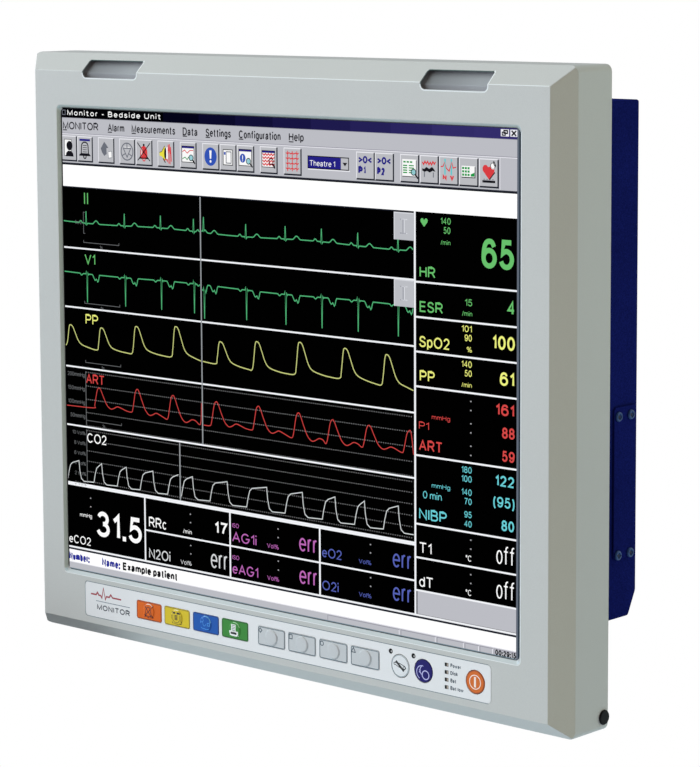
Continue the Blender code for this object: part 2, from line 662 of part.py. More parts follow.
# the grooves between the fins
cut(sink, "heat_sink_fins",
    *slots(FAN_X, count=8, pitch=7.0, half_width=2.4, d=(53.0, 62.0), z=around(FAN_Z, 30)))

# ---- fan -------------------------------------------------------------------------------------------------------------------------------------
FAN_AT = (FAN_X, FAN_Z)
FAN_SIZE = 60.0
FAN_D = (62.4, 77.4)
FAN_REAR = FAN_D[1]
HUB_R, AXLE_R = 11.0, 2.0
STRUT_LONG, STRUT_THIN = 29.2, 1.6  # half sizes of a strut
BLADE_COUNT, BLADE_TILT = 7, math.radians(38)
BLADE_SIZE = (17.5, 1.3, 12.5)  # radial length, thickness, width
BLADE_OFFSET, BLADE_D = 18.0, 69.0  # blade's middle: distance from the axis, depth

fan = piece("fan_frame", fan_plastic,
            box(around(FAN_X, FAN_SIZE / 2), FAN_D, around(FAN_Z, FAN_SIZE / 2),
                "Y", 4.0, segments=2))
cut(fan, "fan_bore", rod("Y", (60.0, 80.0), FAN_AT, 28.5, segments=36))
# struts and motor end at slightly different depths, so no faces coincide
join(fan, "fan_struts_x",
     box(around(FAN_X, STRUT_LONG), (75.7, FAN_REAR - 0.2), around(FAN_Z, STRUT_THIN)))
join(fan, "fan_struts_z",
     box(around(FAN_X, STRUT_THIN), (75.8, FAN_REAR - 0.1), around(FAN_Z, STRUT_LONG)))
join(fan, "fan_motor", rod("Y", (75.5, FAN_REAR - 0.15), FAN_AT, HUB_R))
join(fan, "fan_axle", rod("Y", (66.0, 76.3), FAN_AT, AXLE_R, segments=32))

rotor = piece("fan_rotor", fan_plastic, rod("Y", (63.4, 75.0), FAN_AT, HUB_R, segments=28),
              origin=(FAN_X, depth(70.0), FAN_Z), smooth=True)


def blades(bm):
    hub = Matrix.Translation((FAN_X, depth(BLADE_D), FAN_Z))
    out = Matrix.Translation((BLADE_OFFSET, 0, 0))
    tilt = Matrix.Rotation(BLADE_TILT, 4, "X")
    size = Matrix.Diagonal((*BLADE_SIZE, 1.0))
    for i in range(BLADE_COUNT):
        turn = Matrix.Rotation(2 * math.pi * i / BLADE_COUNT, 4, "Y")
        bmesh.ops.create_cube(bm, size=1.0, matrix=hub @ turn @ out @ tilt @ size)


join(rotor, "fan_blades", blades)
cut(rotor, "rotor_bore", rod("Y", (64.6, 77.0), FAN_AT, AXLE_R + 0.15, segments=32))

# ---- disk, power supply, battery --------------------------------------------------------------------------------------------------------------
piece("hard_disk", disk_metal,
      box(x=(74.0, 175.6), d=(46.0, 72.0), z=(8.0, 155.0), axis="Y", radius=2.0, segments=2))
piece("power_supply", steel("supply_steel"),
      box(x=(66.0, 192.0), d=(45.0, 76.5), z=(-92.0, 0.0)))
piece("battery_pack", battery_shell,
      box(x=(-192.0, -64.0), d=(44.0, 72.0), z=(-119.0, -66.0), axis="X", radius=3.0))

# ---- loudspeaker above the bezel's slots ------------------------------------------------------------------------------------------------------
speaker = piece("loudspeaker", speaker_plastic,
                box(around(SPEAKER_X, 22), SPEAKER_D, (-176.2, -172.8), "Z", 8.0, segments=4))
join(speaker, "speaker_cup", rod("Z", (-174.0, -163.0), (SPEAKER_X, centre(SPEAKER_D)), 7.8))

# ---- sockets on the housing's underside ---------------------------------------------------------------------------------------------------------
SOCKET_LOW = -127.0            # lower end of every socket
SOCKET_Z = (SOCKET_LOW, -108.0)
MOUTH_LOW = -130.0             # the mouths' cutters start below the sockets
INLET_PINS = ((-7.0, 57.5), (7.0, 57.5), (0.0, 62.5))  # x from the middle, depth

inlet = piece("power_inlet", inlet_plastic, box(INLET_X, INLET_D, (SOCKET_LOW, -100.0)))
cut(inlet, "inlet_mouth", box(inset(INLET_X, 2), inset(INLET_D, 2), (MOUTH_LOW, -111.0)))
join(inlet, "inlet_pins",
     *[box(around(centre(INLET_X) + x, 1.0), around(d, 2.0), (-122.0, -110.0))
       for x, d in INLET_PINS])

module = piece("patient_module_socket", steel("socket_shell"), box(MODULE_X, SOCKET_D, SOCKET_Z))
cut(module, "module_mouth",
    box(inset(MODULE_X, 1.5), inset(SOCKET_D, 1.5), (MOUTH_LOW, -119.0), "Z", 2.5))
join(module, "module_tongue", box(inset(MODULE_X, 5), (58.0, 62.0), (-125.0, -118.0)))

net = piece("network_socket", steel("network_shell"), box(NET_X, SOCKET_D, SOCKET_Z))
cut(net, "network_mouth", box(inset(NET_X, 2), (55.0, 63.0), (MOUTH_LOW, -114.0)))
cut(net, "network_latch", box(inset(NET_X, 5), (62.0, 65.0), (MOUTH_LOW, -116.0)))

# a brass stud with a hexagonal collar
stud = piece("earth_stud", brass, rod("Z", (-139.0, -112.0), EARTH_AT, STUD_R), smooth=True)
join(stud, "stud_collar", rod("Z", (-127.3, BOX_LOW - GAP), EARTH_AT, 6.0, segments=6))

# ---- internal leads: (x, depth, z) points ---------------------------------------------------------------------------------------------------------
LCD_CABLE = [(-20, 21.5, 30), (-20, 29, 30), (-20, 33, 24),
             (-20, 42, 24), (-20, 44.5, 26), (-20, 47.6, 26)]
KEYPAD_RIBBON = [(20, 8.1, -157), (20, 25, -157), (20, 29, -150),
                 (20, 29, -60), (20, 33, -45), (20, 47.6, -45)]
tube("lcd_cable", cable_grey, LCD_CABLE, radius=2.2)
tube("keypad_ribbon", ribbon_grey, KEYPAD_RIBBON, radius=1.6)
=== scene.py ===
"""Looks of a bedside patient monitor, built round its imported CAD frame.

Metres, +Z up; the screen looks along -Y, and +X is at the viewer's right.
Helper sizes are in millimetres. A depth is measured back (+Y) from the flat front.
The sections run: materials, drawing helpers, bezel, picture, keypad, screws, back, stage.
"""

import math
from contextlib import contextmanager

import bmesh
import bpy
from mathutils import Matrix, Vector


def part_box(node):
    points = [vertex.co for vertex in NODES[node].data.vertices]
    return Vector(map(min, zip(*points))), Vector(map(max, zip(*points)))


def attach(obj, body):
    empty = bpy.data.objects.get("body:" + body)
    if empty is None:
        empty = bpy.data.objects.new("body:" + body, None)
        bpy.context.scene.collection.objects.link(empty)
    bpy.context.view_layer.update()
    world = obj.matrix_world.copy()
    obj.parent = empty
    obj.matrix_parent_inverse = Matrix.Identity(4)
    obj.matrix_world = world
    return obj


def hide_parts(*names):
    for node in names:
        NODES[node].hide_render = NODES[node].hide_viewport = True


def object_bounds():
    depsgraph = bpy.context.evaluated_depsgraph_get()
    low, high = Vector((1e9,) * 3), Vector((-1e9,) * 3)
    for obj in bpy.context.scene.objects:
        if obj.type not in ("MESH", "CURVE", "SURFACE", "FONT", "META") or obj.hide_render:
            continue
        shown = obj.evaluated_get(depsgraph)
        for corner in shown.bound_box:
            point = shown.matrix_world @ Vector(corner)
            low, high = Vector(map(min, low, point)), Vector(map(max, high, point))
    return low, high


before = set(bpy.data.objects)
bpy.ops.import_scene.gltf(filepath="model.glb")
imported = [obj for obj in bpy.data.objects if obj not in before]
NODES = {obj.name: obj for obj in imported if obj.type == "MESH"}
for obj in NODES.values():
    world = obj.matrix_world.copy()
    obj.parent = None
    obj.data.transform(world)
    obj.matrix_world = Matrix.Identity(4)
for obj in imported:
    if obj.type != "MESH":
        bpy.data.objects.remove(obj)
CAD_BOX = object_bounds()
MM = 0.001
FRONT_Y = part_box("front_bezel")[0].y            # the flat front face
PANE_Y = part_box("screen_window")[0].y           # the pane's face

GRIP_X = (-134.8, 135.6)             # middles of the two finger recesses
FLAT_TOP = 171.3                     # where the flat front meets the upper chamfer
CHAMFER_SLOPE = 11.2 / 10.8          # how far the chamfer goes back for each millimetre up


def linear(rgb):
    """Display colour 0..255 to linear light."""
    shares = [value / 255.0 for value in rgb]
    return tuple(s / 12.92 if s <= 0.04045 else ((s + 0.055) / 1.055) ** 2.4 for s in shares)


def spot(x, depth, z):
    """A place in metres from millimetres."""
    return Vector((x * MM, FRONT_Y + depth * MM, z * MM))


def middle(node):
    """Middle of a CAD node's box, in millimetres."""
    low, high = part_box(node)
    return (low.x + high.x) / 2 / MM, (low.y + high.y) / 2 / MM, (low.z + high.z) / 2 / MM


# =============================================================================
# shader node helpers
# =============================================================================
def new_material(name):
    mat = bpy.data.materials.new(name)
    mat.use_nodes = True
    tree = mat.node_tree
    return mat, tree, tree.nodes["Principled BSDF"]


def add_node(tree, kind, **settings):
    node = tree.nodes.new("ShaderNode" + kind)
    for key, value in settings.items():
        setattr(node, key, value)
    return node


def feed(tree, socket, value):
    """Set a socket to a number, or link another socket to it."""
    if isinstance(value, (int, float)):
        socket.default_value = value
    else:
        tree.links.new(value, socket)


def calc(tree, kind, *values):
    """A Math node on sockets or numbers."""
    node = add_node(tree, "Math", operation=kind)
    for socket, value in zip(node.inputs, values):
        feed(tree, socket, value)
    return node.outputs[0]


def product(tree, first, *others):
    for other in others:
        first = calc(tree, "MULTIPLY", first, other)
    return first


def noise(tree, scale, detail, rough, stretch=None):
    out = add_node(tree, "TexCoord").outputs["Object"]
    if stretch:
        mapping = add_node(tree, "Mapping")
        mapping.inputs["Scale"].default_value = stretch
        tree.links.new(out, mapping.inputs["Vector"])
        out = mapping.outputs["Vector"]
    node = add_node(tree, "TexNoise")
    node.inputs["Scale"].default_value = scale
    node.inputs["Detail"].default_value = detail
    node.inputs["Roughness"].default_value = rough
    tree.links.new(out, node.inputs["Vector"])
    return node.outputs["Fac"]


def ranged(tree, value, to, over=(0.3, 0.7)):
    """Map the span `over` of a value to the span `to`."""
    node = add_node(tree, "MapRange")
    node.inputs["From Min"].default_value, node.inputs["From Max"].default_value = over
    node.inputs["To Min"].default_value, node.inputs["To Max"].default_value = to
    tree.links.new(value, node.inputs["Value"])
    return node.outputs["Result"]


def tinted(tree, rgb, factor):
    """rgb with its brightness multiplied by factor."""
    node = add_node(tree, "VectorMath", operation="SCALE")
    node.inputs[0].default_value = rgb
    feed(tree, node.inputs["Scale"], factor)
    return node.outputs["Vector"]


def multiplied(tree, tint, mask, cast):
    """tint times the colour cast where the mask is 1."""
    blend = add_node(tree, "Mix", data_type="RGBA", blend_type="MULTIPLY")
    blend.inputs[7].default_value = (*cast, 1.0)
    tree.links.new(mask, blend.inputs[0])
    tree.links.new(tint, blend.inputs[6])
    return blend.outputs[2]


def facing(tree, vector, way):
    """How far a direction points along `way`."""
    dot = add_node(tree, "VectorMath", operation="DOT_PRODUCT")
    dot.inputs[1].default_value = Vector(way).normalized()
    tree.links.new(vector, dot.inputs[0])
    return dot.outputs["Value"]


def object_axes(tree):
    split = add_node(tree, "SeparateXYZ")
    tree.links.new(add_node(tree, "TexCoord").outputs["Object"], split.inputs[0])
    return split.outputs


def show_camera(tree, lighting, shown, out):
    """Light the scene with one shader, but show the camera another."""
    path = add_node(tree, "LightPath")
    mix = add_node(tree, "MixShader")
    tree.links.new(path.outputs["Is Camera Ray"], mix.inputs["Fac"])
    tree.links.new(lighting.outputs[0], mix.inputs[1])
    tree.links.new(shown.outputs[0], mix.inputs[2])
    tree.links.new(mix.outputs[0], out.inputs["Surface"])


# =============================================================================
# materials
# =============================================================================
# painted light: faces turned to the front right get a painted warm colour cast
PAINTED_WARM_WAY = (0.74, -0.67, 0.0)        # faces turned to the front right take the warm cast
RASTER = 0.00028                     # pitch of the display's dots, metres


def surface(name, rgb, rough, metal=0.0, grain=2200.0, grain_amp=0.03, cloud=9.0, cloud_amp=0.02,
            depth=0.00001, rough_amp=0.05, stretch=None, coat=0.0, spec=None, painted_light_zones=None,
            painted_warm_cast=None):
    """A finish with fine grain, slow tone variation, uneven roughness and a light texture; it can
    also carry painted shade and painted colour casts of light, one of them a yellowish tint on
    faces turned to the front right.
    """
    mat, tree, shader = new_material(name)
    fine = noise(tree, grain, detail=2.0, rough=0.5, stretch=stretch)
    slow = noise(tree, cloud, detail=3.0, rough=0.55)
    factor = product(tree, ranged(tree, fine, to=(1 - grain_amp, 1 + grain_amp)),
                     ranged(tree, slow, to=(1 - cloud_amp, 1 + cloud_amp)))
    # painted shade and painted colour casts of light from the zones
    casts = []
    if painted_light_zones:
        shade, casts = painted_light_zones(tree)
        factor = product(tree, factor, shade)
    tint = tinted(tree, rgb, factor)
    for mask, cast in casts:
        tint = multiplied(tree, tint, mask, cast)
    # a painted warm cast of light on faces turned to the front right
    if painted_warm_cast:
        normal = add_node(tree, "NewGeometry").outputs["True Normal"]
        mask = ranged(tree, facing(tree, normal, PAINTED_WARM_WAY), to=(0.0, 1.0), over=(0.93, 0.99))
        tint = multiplied(tree, tint, mask, painted_warm_cast)
    tree.links.new(tint, shader.inputs["Base Color"])
    tree.links.new(ranged(tree, fine, to=(rough - rough_amp, rough + rough_amp)),
                   shader.inputs["Roughness"])
    shader.inputs["Metallic"].default_value = metal
    if coat:
        shader.inputs["Coat Weight"].default_value = coat
        shader.inputs["Coat Roughness"].default_value = 0.25
    if spec is not None:
        shader.inputs["Specular IOR Level"].default_value = spec
    if depth:
        bump = add_node(tree, "Bump")
        bump.inputs["Strength"].default_value = 1.0
        bump.inputs["Distance"].default_value = depth
        tree.links.new(fine, bump.inputs["Height"])
        tree.links.new(bump.outputs["Normal"], shader.inputs["Normal"])
    return mat


def glowing(name, rgb, gain):
    """A lit part of the picture, seen through a faint dot raster."""
    mat, tree, shader = new_material(name)
    shader.inputs["Base Color"].default_value = (0.0, 0.0, 0.0, 1.0)
    shader.inputs["Roughness"].default_value = 0.45
    shader.inputs["Specular IOR Level"].default_value = 0.0
    axes = object_axes(tree)
    waves = []
    for axis in ("X", "Z"):
        wave = calc(tree, "COSINE", product(tree, axes[axis], 2 * math.pi / RASTER))
        waves.append(ranged(tree, wave, to=(0.97, 1.03), over=(-1.0, 1.0)))
    light = tuple(gain * value for value in linear(rgb))
    tree.links.new(tinted(tree, light, product(tree, *waves)), shader.inputs["Emission Color"])
    shader.inputs["Emission Strength"].default_value = 1.0
    mat.cycles.emission_sampling = "NONE"
    return mat


def bezel_painted_light(tree):
    """Painted shade and painted colour casts of light in the finger recesses and on the window's
    four lips.
    """
    axes = object_axes(tree)
    x = product(tree, axes["X"], 1000.0)
    depth = product(tree, calc(tree, "SUBTRACT", axes["Y"], FRONT_Y), 1000.0)
    z = product(tree, axes["Z"], 1000.0)

    def above(value, limit):
        return calc(tree, "GREATER_THAN", value, limit)

    def below(value, limit):
        return calc(tree, "LESS_THAN", value, limit)

    def rest(share):
        return calc(tree, "SUBTRACT", 1.0, share)

    # finger recesses: painted shade, darker towards the left, and a painted cool cast of light on
    # whatever lies behind the flat front and its chamfer
    skin = product(tree, calc(tree, "SUBTRACT", z, FLAT_TOP), CHAMFER_SLOPE)
    skin = calc(tree, "MAXIMUM", skin, 0.0)
    under = ranged(tree, calc(tree, "SUBTRACT", depth, skin), to=(0.0, 1.0), over=(0.15, 0.7))
    level = product(tree, above(z, 166.9), below(z, 178.2))
    factor, casts = None, []
    for grip_x in GRIP_X:
        offset = calc(tree, "SUBTRACT", x, grip_x)
        here = product(tree, under, level, below(calc(tree, "ABSOLUTE", offset), 23.9))
        tone = ranged(tree, offset, to=(0.27, 0.60), over=(-24.0, 14.0))
        shade = rest(product(tree, here, rest(tone)))
        factor = shade if factor is None else product(tree, factor, shade)
        casts.append((here, (0.95, 0.985, 1.09)))

    # window lips: painted shade that grows with depth, a dark painted shadow line (the seam) at
    # their foot, and painted colour casts of light
    deep = ranged(tree, depth, to=(0.0, 1.0), over=(0.1, 2.0))
    inside = product(tree, below(calc(tree, "ABSOLUTE", x), 182.6), below(z, 150.6),
                     above(z, -142.2), below(depth, 3.5))
    lip = above(depth, 0.12)
    lips = (                         # mask, share of shade, seam's depth, colour cast
        (below(x, -180.1), 0.28, 1.80, (0.97, 1.09, 1.10)),
        (above(z, 148.1), 0.42, 1.55, (0.96, 1.07, 1.07)),
        (above(x, 180.1), 0.55, 1.90, (0.97, 1.00, 1.04)),
        (below(z, -139.7), 0.0, 1.85, (1.02, 1.11, 1.17)),
    )
    for edge, share, foot, cast in lips:
        here = product(tree, inside, edge)
        shade = rest(product(tree, deep, here, share))
        foot_shade_line = ranged(tree, depth, to=(0.0, 0.92), over=(foot - 0.06, foot + 0.06))
        factor = product(tree, factor, shade, rest(product(tree, here, foot_shade_line)))
        casts.append((product(tree, here, lip), cast))
    return factor, casts


# the bezel's paint, with painted shade and painted colour casts of light in the finger recesses
# and on the window lips, and a painted warm cast on faces turned to the front right
paint = surface("bezel_satin_paint", (0.545, 0.560, 0.535), rough=0.46, grain=2600,
                grain_amp=0.035, cloud=7, cloud_amp=0.015, depth=0.000012, rough_amp=0.06,
                painted_light_zones=bezel_painted_light, painted_warm_cast=(1.0, 0.985, 0.87))
# pale paint for lines of painted highlight along edges; dark paint for lines of painted shade in
# creases
painted_edge_highlight = surface("bezel_painted_edge_highlight", (0.80, 0.84, 0.835), rough=0.34, grain=2600, grain_amp=0.03,
                depth=0.000006)
crease_shade = surface("bezel_crease_shade", (0.075, 0.125, 0.115), rough=0.6, grain=2600,
                 grain_amp=0.05, depth=0.000006, spec=0.2)
housing_paint = surface("housing_blue_paint", (0.0076, 0.0122, 0.116), rough=0.42, grain=1500,
                        grain_amp=0.30, cloud=14, cloud_amp=0.12, depth=0.00003, rough_amp=0.08,
                        spec=0.0)
film = surface("overlay_satin_film", (0.812, 0.826, 0.826), rough=0.38, grain=3200,
               grain_amp=0.012, cloud=10, cloud_amp=0.008, depth=0.000005, rough_amp=0.05)
pane_glass = surface("pane_dark_glass", (0.006, 0.007, 0.010), rough=0.22, grain=4000,
                     grain_amp=0.05, depth=0.000003, rough_amp=0.04, spec=0.45)
rubber = surface("bumper_black_rubber", (0.005, 0.005, 0.006), rough=0.55, grain=1800,
                 grain_amp=0.12, depth=0.00003, spec=0.15)
plate_paint = surface("mount_plate_dark_powder_coat", (0.060, 0.064, 0.070), rough=0.5,
                      grain=1300, grain_amp=0.10, depth=0.00004, metal=0.2)
zinc = surface("zinc_plated_steel", (0.50, 0.51, 0.52), rough=0.34, metal=1.0, grain=600,
               grain_amp=0.10, depth=0.00001, stretch=(1, 1, 4))
steel = surface("brushed_steel", (0.52, 0.53, 0.54), rough=0.33, metal=1.0, grain=320,
                grain_amp=0.10, depth=0.000008, stretch=(0.15, 1, 6))
aluminium = surface("milled_aluminium", (0.62, 0.63, 0.64), rough=0.36, metal=1.0, grain=500,
                    grain_amp=0.08, depth=0.000008, stretch=(4, 1, 0.2))
board = surface("board_green_mask", (0.012, 0.110, 0.045), rough=0.45, grain=420, grain_amp=0.35,
                cloud=60, cloud_amp=0.20, depth=0.00002, coat=0.3)
acrylic = surface("light_guide_acrylic", (0.80, 0.83, 0.84), rough=0.18, grain=900,
                  grain_amp=0.03, depth=0.000004)
lamp = surface("lamp_phosphor_glass", (0.85, 0.87, 0.86), rough=0.2, grain=700, grain_amp=0.03,
               depth=0)
foam = surface("gasket_foam", (0.015, 0.015, 0.016), rough=0.92, grain=1600, grain_amp=0.35,
               depth=0.0001)
black_plastic = surface("black_moulded_plastic", (0.014, 0.014, 0.016), rough=0.46, grain=1700,
                        grain_amp=0.15, depth=0.00002)
dark_shell = surface("battery_wrap", (0.030, 0.030, 0.036), rough=0.55, grain=1100,
                     grain_amp=0.12, depth=0.00002)
jacket = surface("cable_jacket", (0.17, 0.17, 0.18), rough=0.6, grain=1400, grain_amp=0.08,
                 depth=0.00002)
ribbon = surface("ribbon_jacket", (0.33, 0.33, 0.34), rough=0.55, grain=300, grain_amp=0.25,
                 stretch=(12, 1, 1))
brass = surface("brass_plating", (0.62, 0.44, 0.16), rough=0.28, metal=1.0, grain=700,
                grain_amp=0.10)
gold = surface("gold_contact", (0.80, 0.58, 0.22), rough=0.25, metal=1.0, grain=900,
               grain_amp=0.06)
screw_blue = surface("screw_head_blue_paint", (0.020, 0.070, 0.215), rough=0.40, grain=1400,
                     grain_amp=0.15, depth=0.00002, metal=0.25)
# painted shade for the dark cross in each screw head's recess
screw_recess_shade = surface("screw_recess_painted_shade", (0.004, 0.006, 0.030), rough=0.5, grain=1400,
                     grain_amp=0.15)


def printed(name, rgb):
    return surface(name + "_ink", linear(rgb), rough=0.42, grain=3000, grain_amp=0.05,
                   depth=0.000004)


LOOKS = {
    "front_bezel": paint, "rear_housing": housing_paint, "side_plate_right": housing_paint,
    "side_plate_left": housing_paint, "back_mount_plate": plate_paint, "keypad_overlay": film,
    "screen_window": pane_glass, "corner_bumper_right": rubber, "corner_bumper_left": rubber,
    "window_gasket": foam, "lcd_panel": pane_glass, "light_guide": acrylic,
    "backlight_lamp_upper": lamp, "backlight_lamp_lower": lamp, "lcd_rear_cover": steel,
    "backlight_inverter": board, "dome_sheet": steel, "keypad_board": board,
    "chassis_plate": steel, "main_board": board, "cpu_heat_sink": aluminium,
    "fan_frame": black_plastic, "fan_rotor": black_plastic, "hard_disk": aluminium,
    "power_supply": steel, "battery_pack": dark_shell, "loudspeaker": black_plastic,
    "power_inlet": black_plastic, "patient_module_socket": steel, "network_socket": steel,
    "earth_stud": brass, "lcd_cable": jacket, "keypad_ribbon": ribbon,
}
for name, mat in LOOKS.items():
    NODES[name].data.materials.clear()
    NODES[name].data.materials.append(mat)


def soften(node, width, segments=2):
    """Rounded, evenly shaded edges on a CAD node, by modifiers only."""
    obj = NODES[node]
    obj.modifiers.new("weld", "WELD").merge_threshold = 0.000005
    rim = obj.modifiers.new("edges", "BEVEL")
    rim.width = width * MM
    rim.segments = segments
    rim.limit_method = "ANGLE"
    rim.angle_limit = math.radians(28.0)
    rim.use_clamp_overlap = False
    rim.miter_outer = "MITER_ARC"
    rim.harden_normals = False
    for polygon in obj.data.polygons:
        polygon.use_smooth = True
    normals = obj.modifiers.new("shading", "WEIGHTED_NORMAL")
    normals.weight = 100
    normals.keep_sharp = False


soften("front_bezel", 0.30)
soften("rear_housing", 0.25)
soften("back_mount_plate", 0.5, segments=3)
soften("side_plate_right", 0.2)
soften("side_plate_left", 0.2)
for name in ("power_inlet", "patient_module_socket", "network_socket", "corner_bumper_right",
             "corner_bumper_left"):
    soften(name, 0.25)


# =============================================================================
# curves and meshes
# =============================================================================
def bow(x, y, reach_x, reach_y, start, stop, count=0):
    """Points along part of an ellipse, by angle in degrees."""
    count = count or max(4, int(abs(stop - start) / 15))
    angles = [math.radians(start + (stop - start) * k / count) for k in range(count + 1)]
    return [(x + reach_x * math.cos(t), y + reach_y * math.sin(t)) for t in angles]


def ellipse(x, y, reach_x, reach_y, count):
    return bow(x, y, reach_x, reach_y, 0, 360, count)[:-1]


def hoop(x, y, radius, width, count, arc=None):
    """A round stroke, or part of one over an arc in degrees: points, width, closed."""
    if arc:
        return bow(x, y, radius, radius, *arc, count), width, False
    return ellipse(x, y, radius, radius, count), width, True


def smooth_curve(points, step=0.9):
    """A Catmull-Rom curve through the points."""
    padded = [points[0]] + list(points) + [points[-1]]
    out = []
    for before, here, ahead, after in zip(padded, padded[1:], padded[2:], padded[3:]):
        count = max(1, math.ceil(math.dist(here, ahead) / step))
        for k in range(count):
            t = k / count
            out.append(tuple(
                0.5 * (2 * q + (r - p) * t + (2 * p - 5 * q + 4 * r - s) * t * t
                       + (3 * q - p - 3 * r + s) * t ** 3)
                for p, q, r, s in zip(before, here, ahead, after)))
    out.append(tuple(points[-1]))
    return out


CORNER_STEPS, SIDE_STEPS = 7, 6      # of a rounded rectangle


def rounded_rect(width, height, radius, corner_steps=CORNER_STEPS, side_steps=SIDE_STEPS):
    """Points round a rectangle with round corners, counter-clockwise from the right."""
    x, y = width / 2 - radius, height / 2 - radius
    arcs = [bow(corner_x, corner_y, radius, radius, turn, turn + 90, corner_steps)
            for corner_x, corner_y, turn in ((x, y, 0), (-x, y, 90), (-x, -y, 180), (x, -y, 270))]
    out = []
    for arc, following in zip(arcs, arcs[1:] + arcs[:1]):
        out += arc
        out += [tuple(p + (q - p) * k / (side_steps + 1) for p, q in zip(arc[-1], following[0]))
                for k in range(1, side_steps + 1)]
    return out


def link(name, mesh, mat, body, smooth):
    mesh.materials.append(mat)
    if smooth is not None:
        mesh.shade_smooth()
        mesh.set_sharp_from_angle(angle=math.radians(smooth))
    obj = bpy.data.objects.new(name, mesh)
    bpy.context.scene.collection.objects.link(obj)
    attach(obj, body)
    return obj


def solid(name, verts, faces, mat, body="monitor", smooth=None):
    """A closed piece from vertices in metres."""
    mesh = bpy.data.meshes.new(name)
    mesh.from_pydata([tuple(v) for v in verts], [], [tuple(f) for f in faces])
    bm = bmesh.new()
    bm.from_mesh(mesh)
    bmesh.ops.recalc_face_normals(bm, faces=bm.faces)
    bm.to_mesh(mesh)
    bm.free()
    return link(name, mesh, mat, body, smooth)


def capped_faces(count, rings):
    """Faces over a middle vertex and rings of `count` vertices, with a flat last end."""
    faces = [(0, 1 + k, 1 + (k + 1) % count) for k in range(count)]
    for i in range(rings - 1):
        start = 1 + i * count
        faces += [(start + k, start + count + k, start + count + (k + 1) % count,
                   start + (k + 1) % count) for k in range(count)]
    last = 1 + (rings - 1) * count
    faces.append(tuple(range(last + count - 1, last - 1, -1)))
    return faces


# =============================================================================
# flat artwork
# =============================================================================
class Art:
    """Artwork of one colour: thin closed plates, strokes and letters on one layer.

    `place` turns (x, y, distance outward) into a point in metres. `down` says that y grows
    downward. Strokes are cut into pieces no longer than `step`.
    """
    origin = (0.0, 0.0)

    def __init__(self, name, mat, place, front, back, body="monitor", down=False, step=None):
        self.name, self.mat, self.place, self.front, self.back = name, mat, place, front, back
        self.body, self.down, self.step = body, down, step
        self.verts, self.faces = [], []

    def add(self, points, faces):
        base = len(self.verts)
        shift_x, shift_y = self.origin
        self.verts += [self.place(x + shift_x, y + shift_y, self.front if top else self.back)
                       for x, y, top in points]
        self.faces += [tuple(base + i for i in face) for face in faces]

    def plate(self, points):
        n = len(points)
        ring = [(x, y, top) for top in (True, False) for x, y in points]
        faces = [tuple(range(n)), tuple(range(2 * n - 1, n - 1, -1))]
        faces += [(k, k + n, (k + 1) % n + n, (k + 1) % n) for k in range(n)]
        self.add(ring, faces)

    def rect(self, x_from, y_from, x_to, y_to):
        self.plate([(x_from, y_from), (x_to, y_from), (x_to, y_to), (x_from, y_to)])

    def rects(self, *boxes):
        for box in boxes:
            self.rect(*box)

    def frame(self, x_from, y_from, x_to, y_to, width):
        self.rects((x_from, y_from, x_to, y_from + width),
                   (x_from, y_to - width, x_to, y_to),
                   (x_from, y_from + width, x_from + width, y_to - width),
                   (x_to - width, y_from + width, x_to, y_to - width))

    def disc(self, *shape):
        self.plate(ellipse(*shape))

    def ring(self, x, y, radius, width, count):
        self.line(*hoop(x, y, radius, width, count))

    def divided(self, path, closed):
        out = []
        for here, ahead in zip(path, path[1:] + (path[:1] if closed else [])):
            count = max(1, math.ceil((ahead - here).length / self.step))
            out += [here.lerp(ahead, k / count) for k in range(count)]
        return out if closed else out + [path[-1]]

    def line(self, points, width, closed=False):
        path = [Vector(p) for p in points]
        if self.step:
            path = self.divided(path, closed)
        n = len(path)
        ring = []
        for k, here in enumerate(path):
            into = (here - path[k - 1]).normalized() if k or closed else None
            out = (path[(k + 1) % n] - here).normalized() if k < n - 1 or closed else None
            if into is None or out is None:
                along, reach = into or out, 1.0
            else:
                along = into + out
                along = out.copy() if along.length < 0.2 else along.normalized()
                reach = 1.0 / max(0.55, abs(along.dot(out)))
            side = Vector((-along.y, along.x)) * (width / 2 * reach)
            ring += [(p.x, p.y, top) for top in (True, False) for p in (here + side, here - side)]
        faces = []
        for k in range(n if closed else n - 1):
            i, j = 4 * k, 4 * ((k + 1) % n)
            faces += [(i, i + 1, j + 1, j), (i + 2, j + 2, j + 3, i + 3), (i, j, j + 2, i + 2),
                      (i + 1, i + 3, j + 3, j + 1)]
        if not closed:
            end = 4 * (n - 1)
            faces += [(0, 2, 3, 1), (end, end + 1, end + 3, end + 2)]
        self.add(ring, faces)

    def lines(self, width, *paths):
        for path in paths:
            self.line(path, width)

    def text(self, words, left, base, cap, width, weight=0.0, gap=0.13):
        """Drawn letters from `left`, on the baseline, with capitals `cap` high."""
        stroke = cap * (0.125 + 3.0 * weight)
        natural = (sum(cap * GLYPHS[c][0] or stroke for c in words)
                   + gap * cap * (len(words) - 1))
        fixed = sum(stroke for c in words if not GLYPHS[c][0])
        stretch = (width - fixed) / (natural - fixed)
        up = -1 if self.down else 1
        for c in words:
            share, strokes = GLYPHS[c]
            wide = cap * share * stretch or stroke
            for points, closed in strokes:
                path = [(left + stroke / 2 + x * (wide - stroke),
                         base + up * (stroke / 2 + y * (cap - stroke))) for x, y in points]
                if len(path) == 1:                      # a square full stop
                    x, y = path[0]
                    half = stroke * 0.54
                    self.rect(x - half, y - half, x + half, y + half)
                else:
                    self.line(path, stroke, closed)
            left += wide + gap * cap * stretch

    def build(self):
        return solid(self.name, self.verts, self.faces, self.mat, self.body)


@contextmanager
def origin(x, y):
    """Within the block, artwork is drawn from this place."""
    Art.origin = (x, y)
    yield
    Art.origin = (0.0, 0.0)


def loop(x, y, reach_x, reach_y, count=26):
    return ellipse(x, y, reach_x, reach_y, count), True


def run(*points):
    return list(points), False


def bend(*points):
    return smooth_curve(list(points), 0.12), False


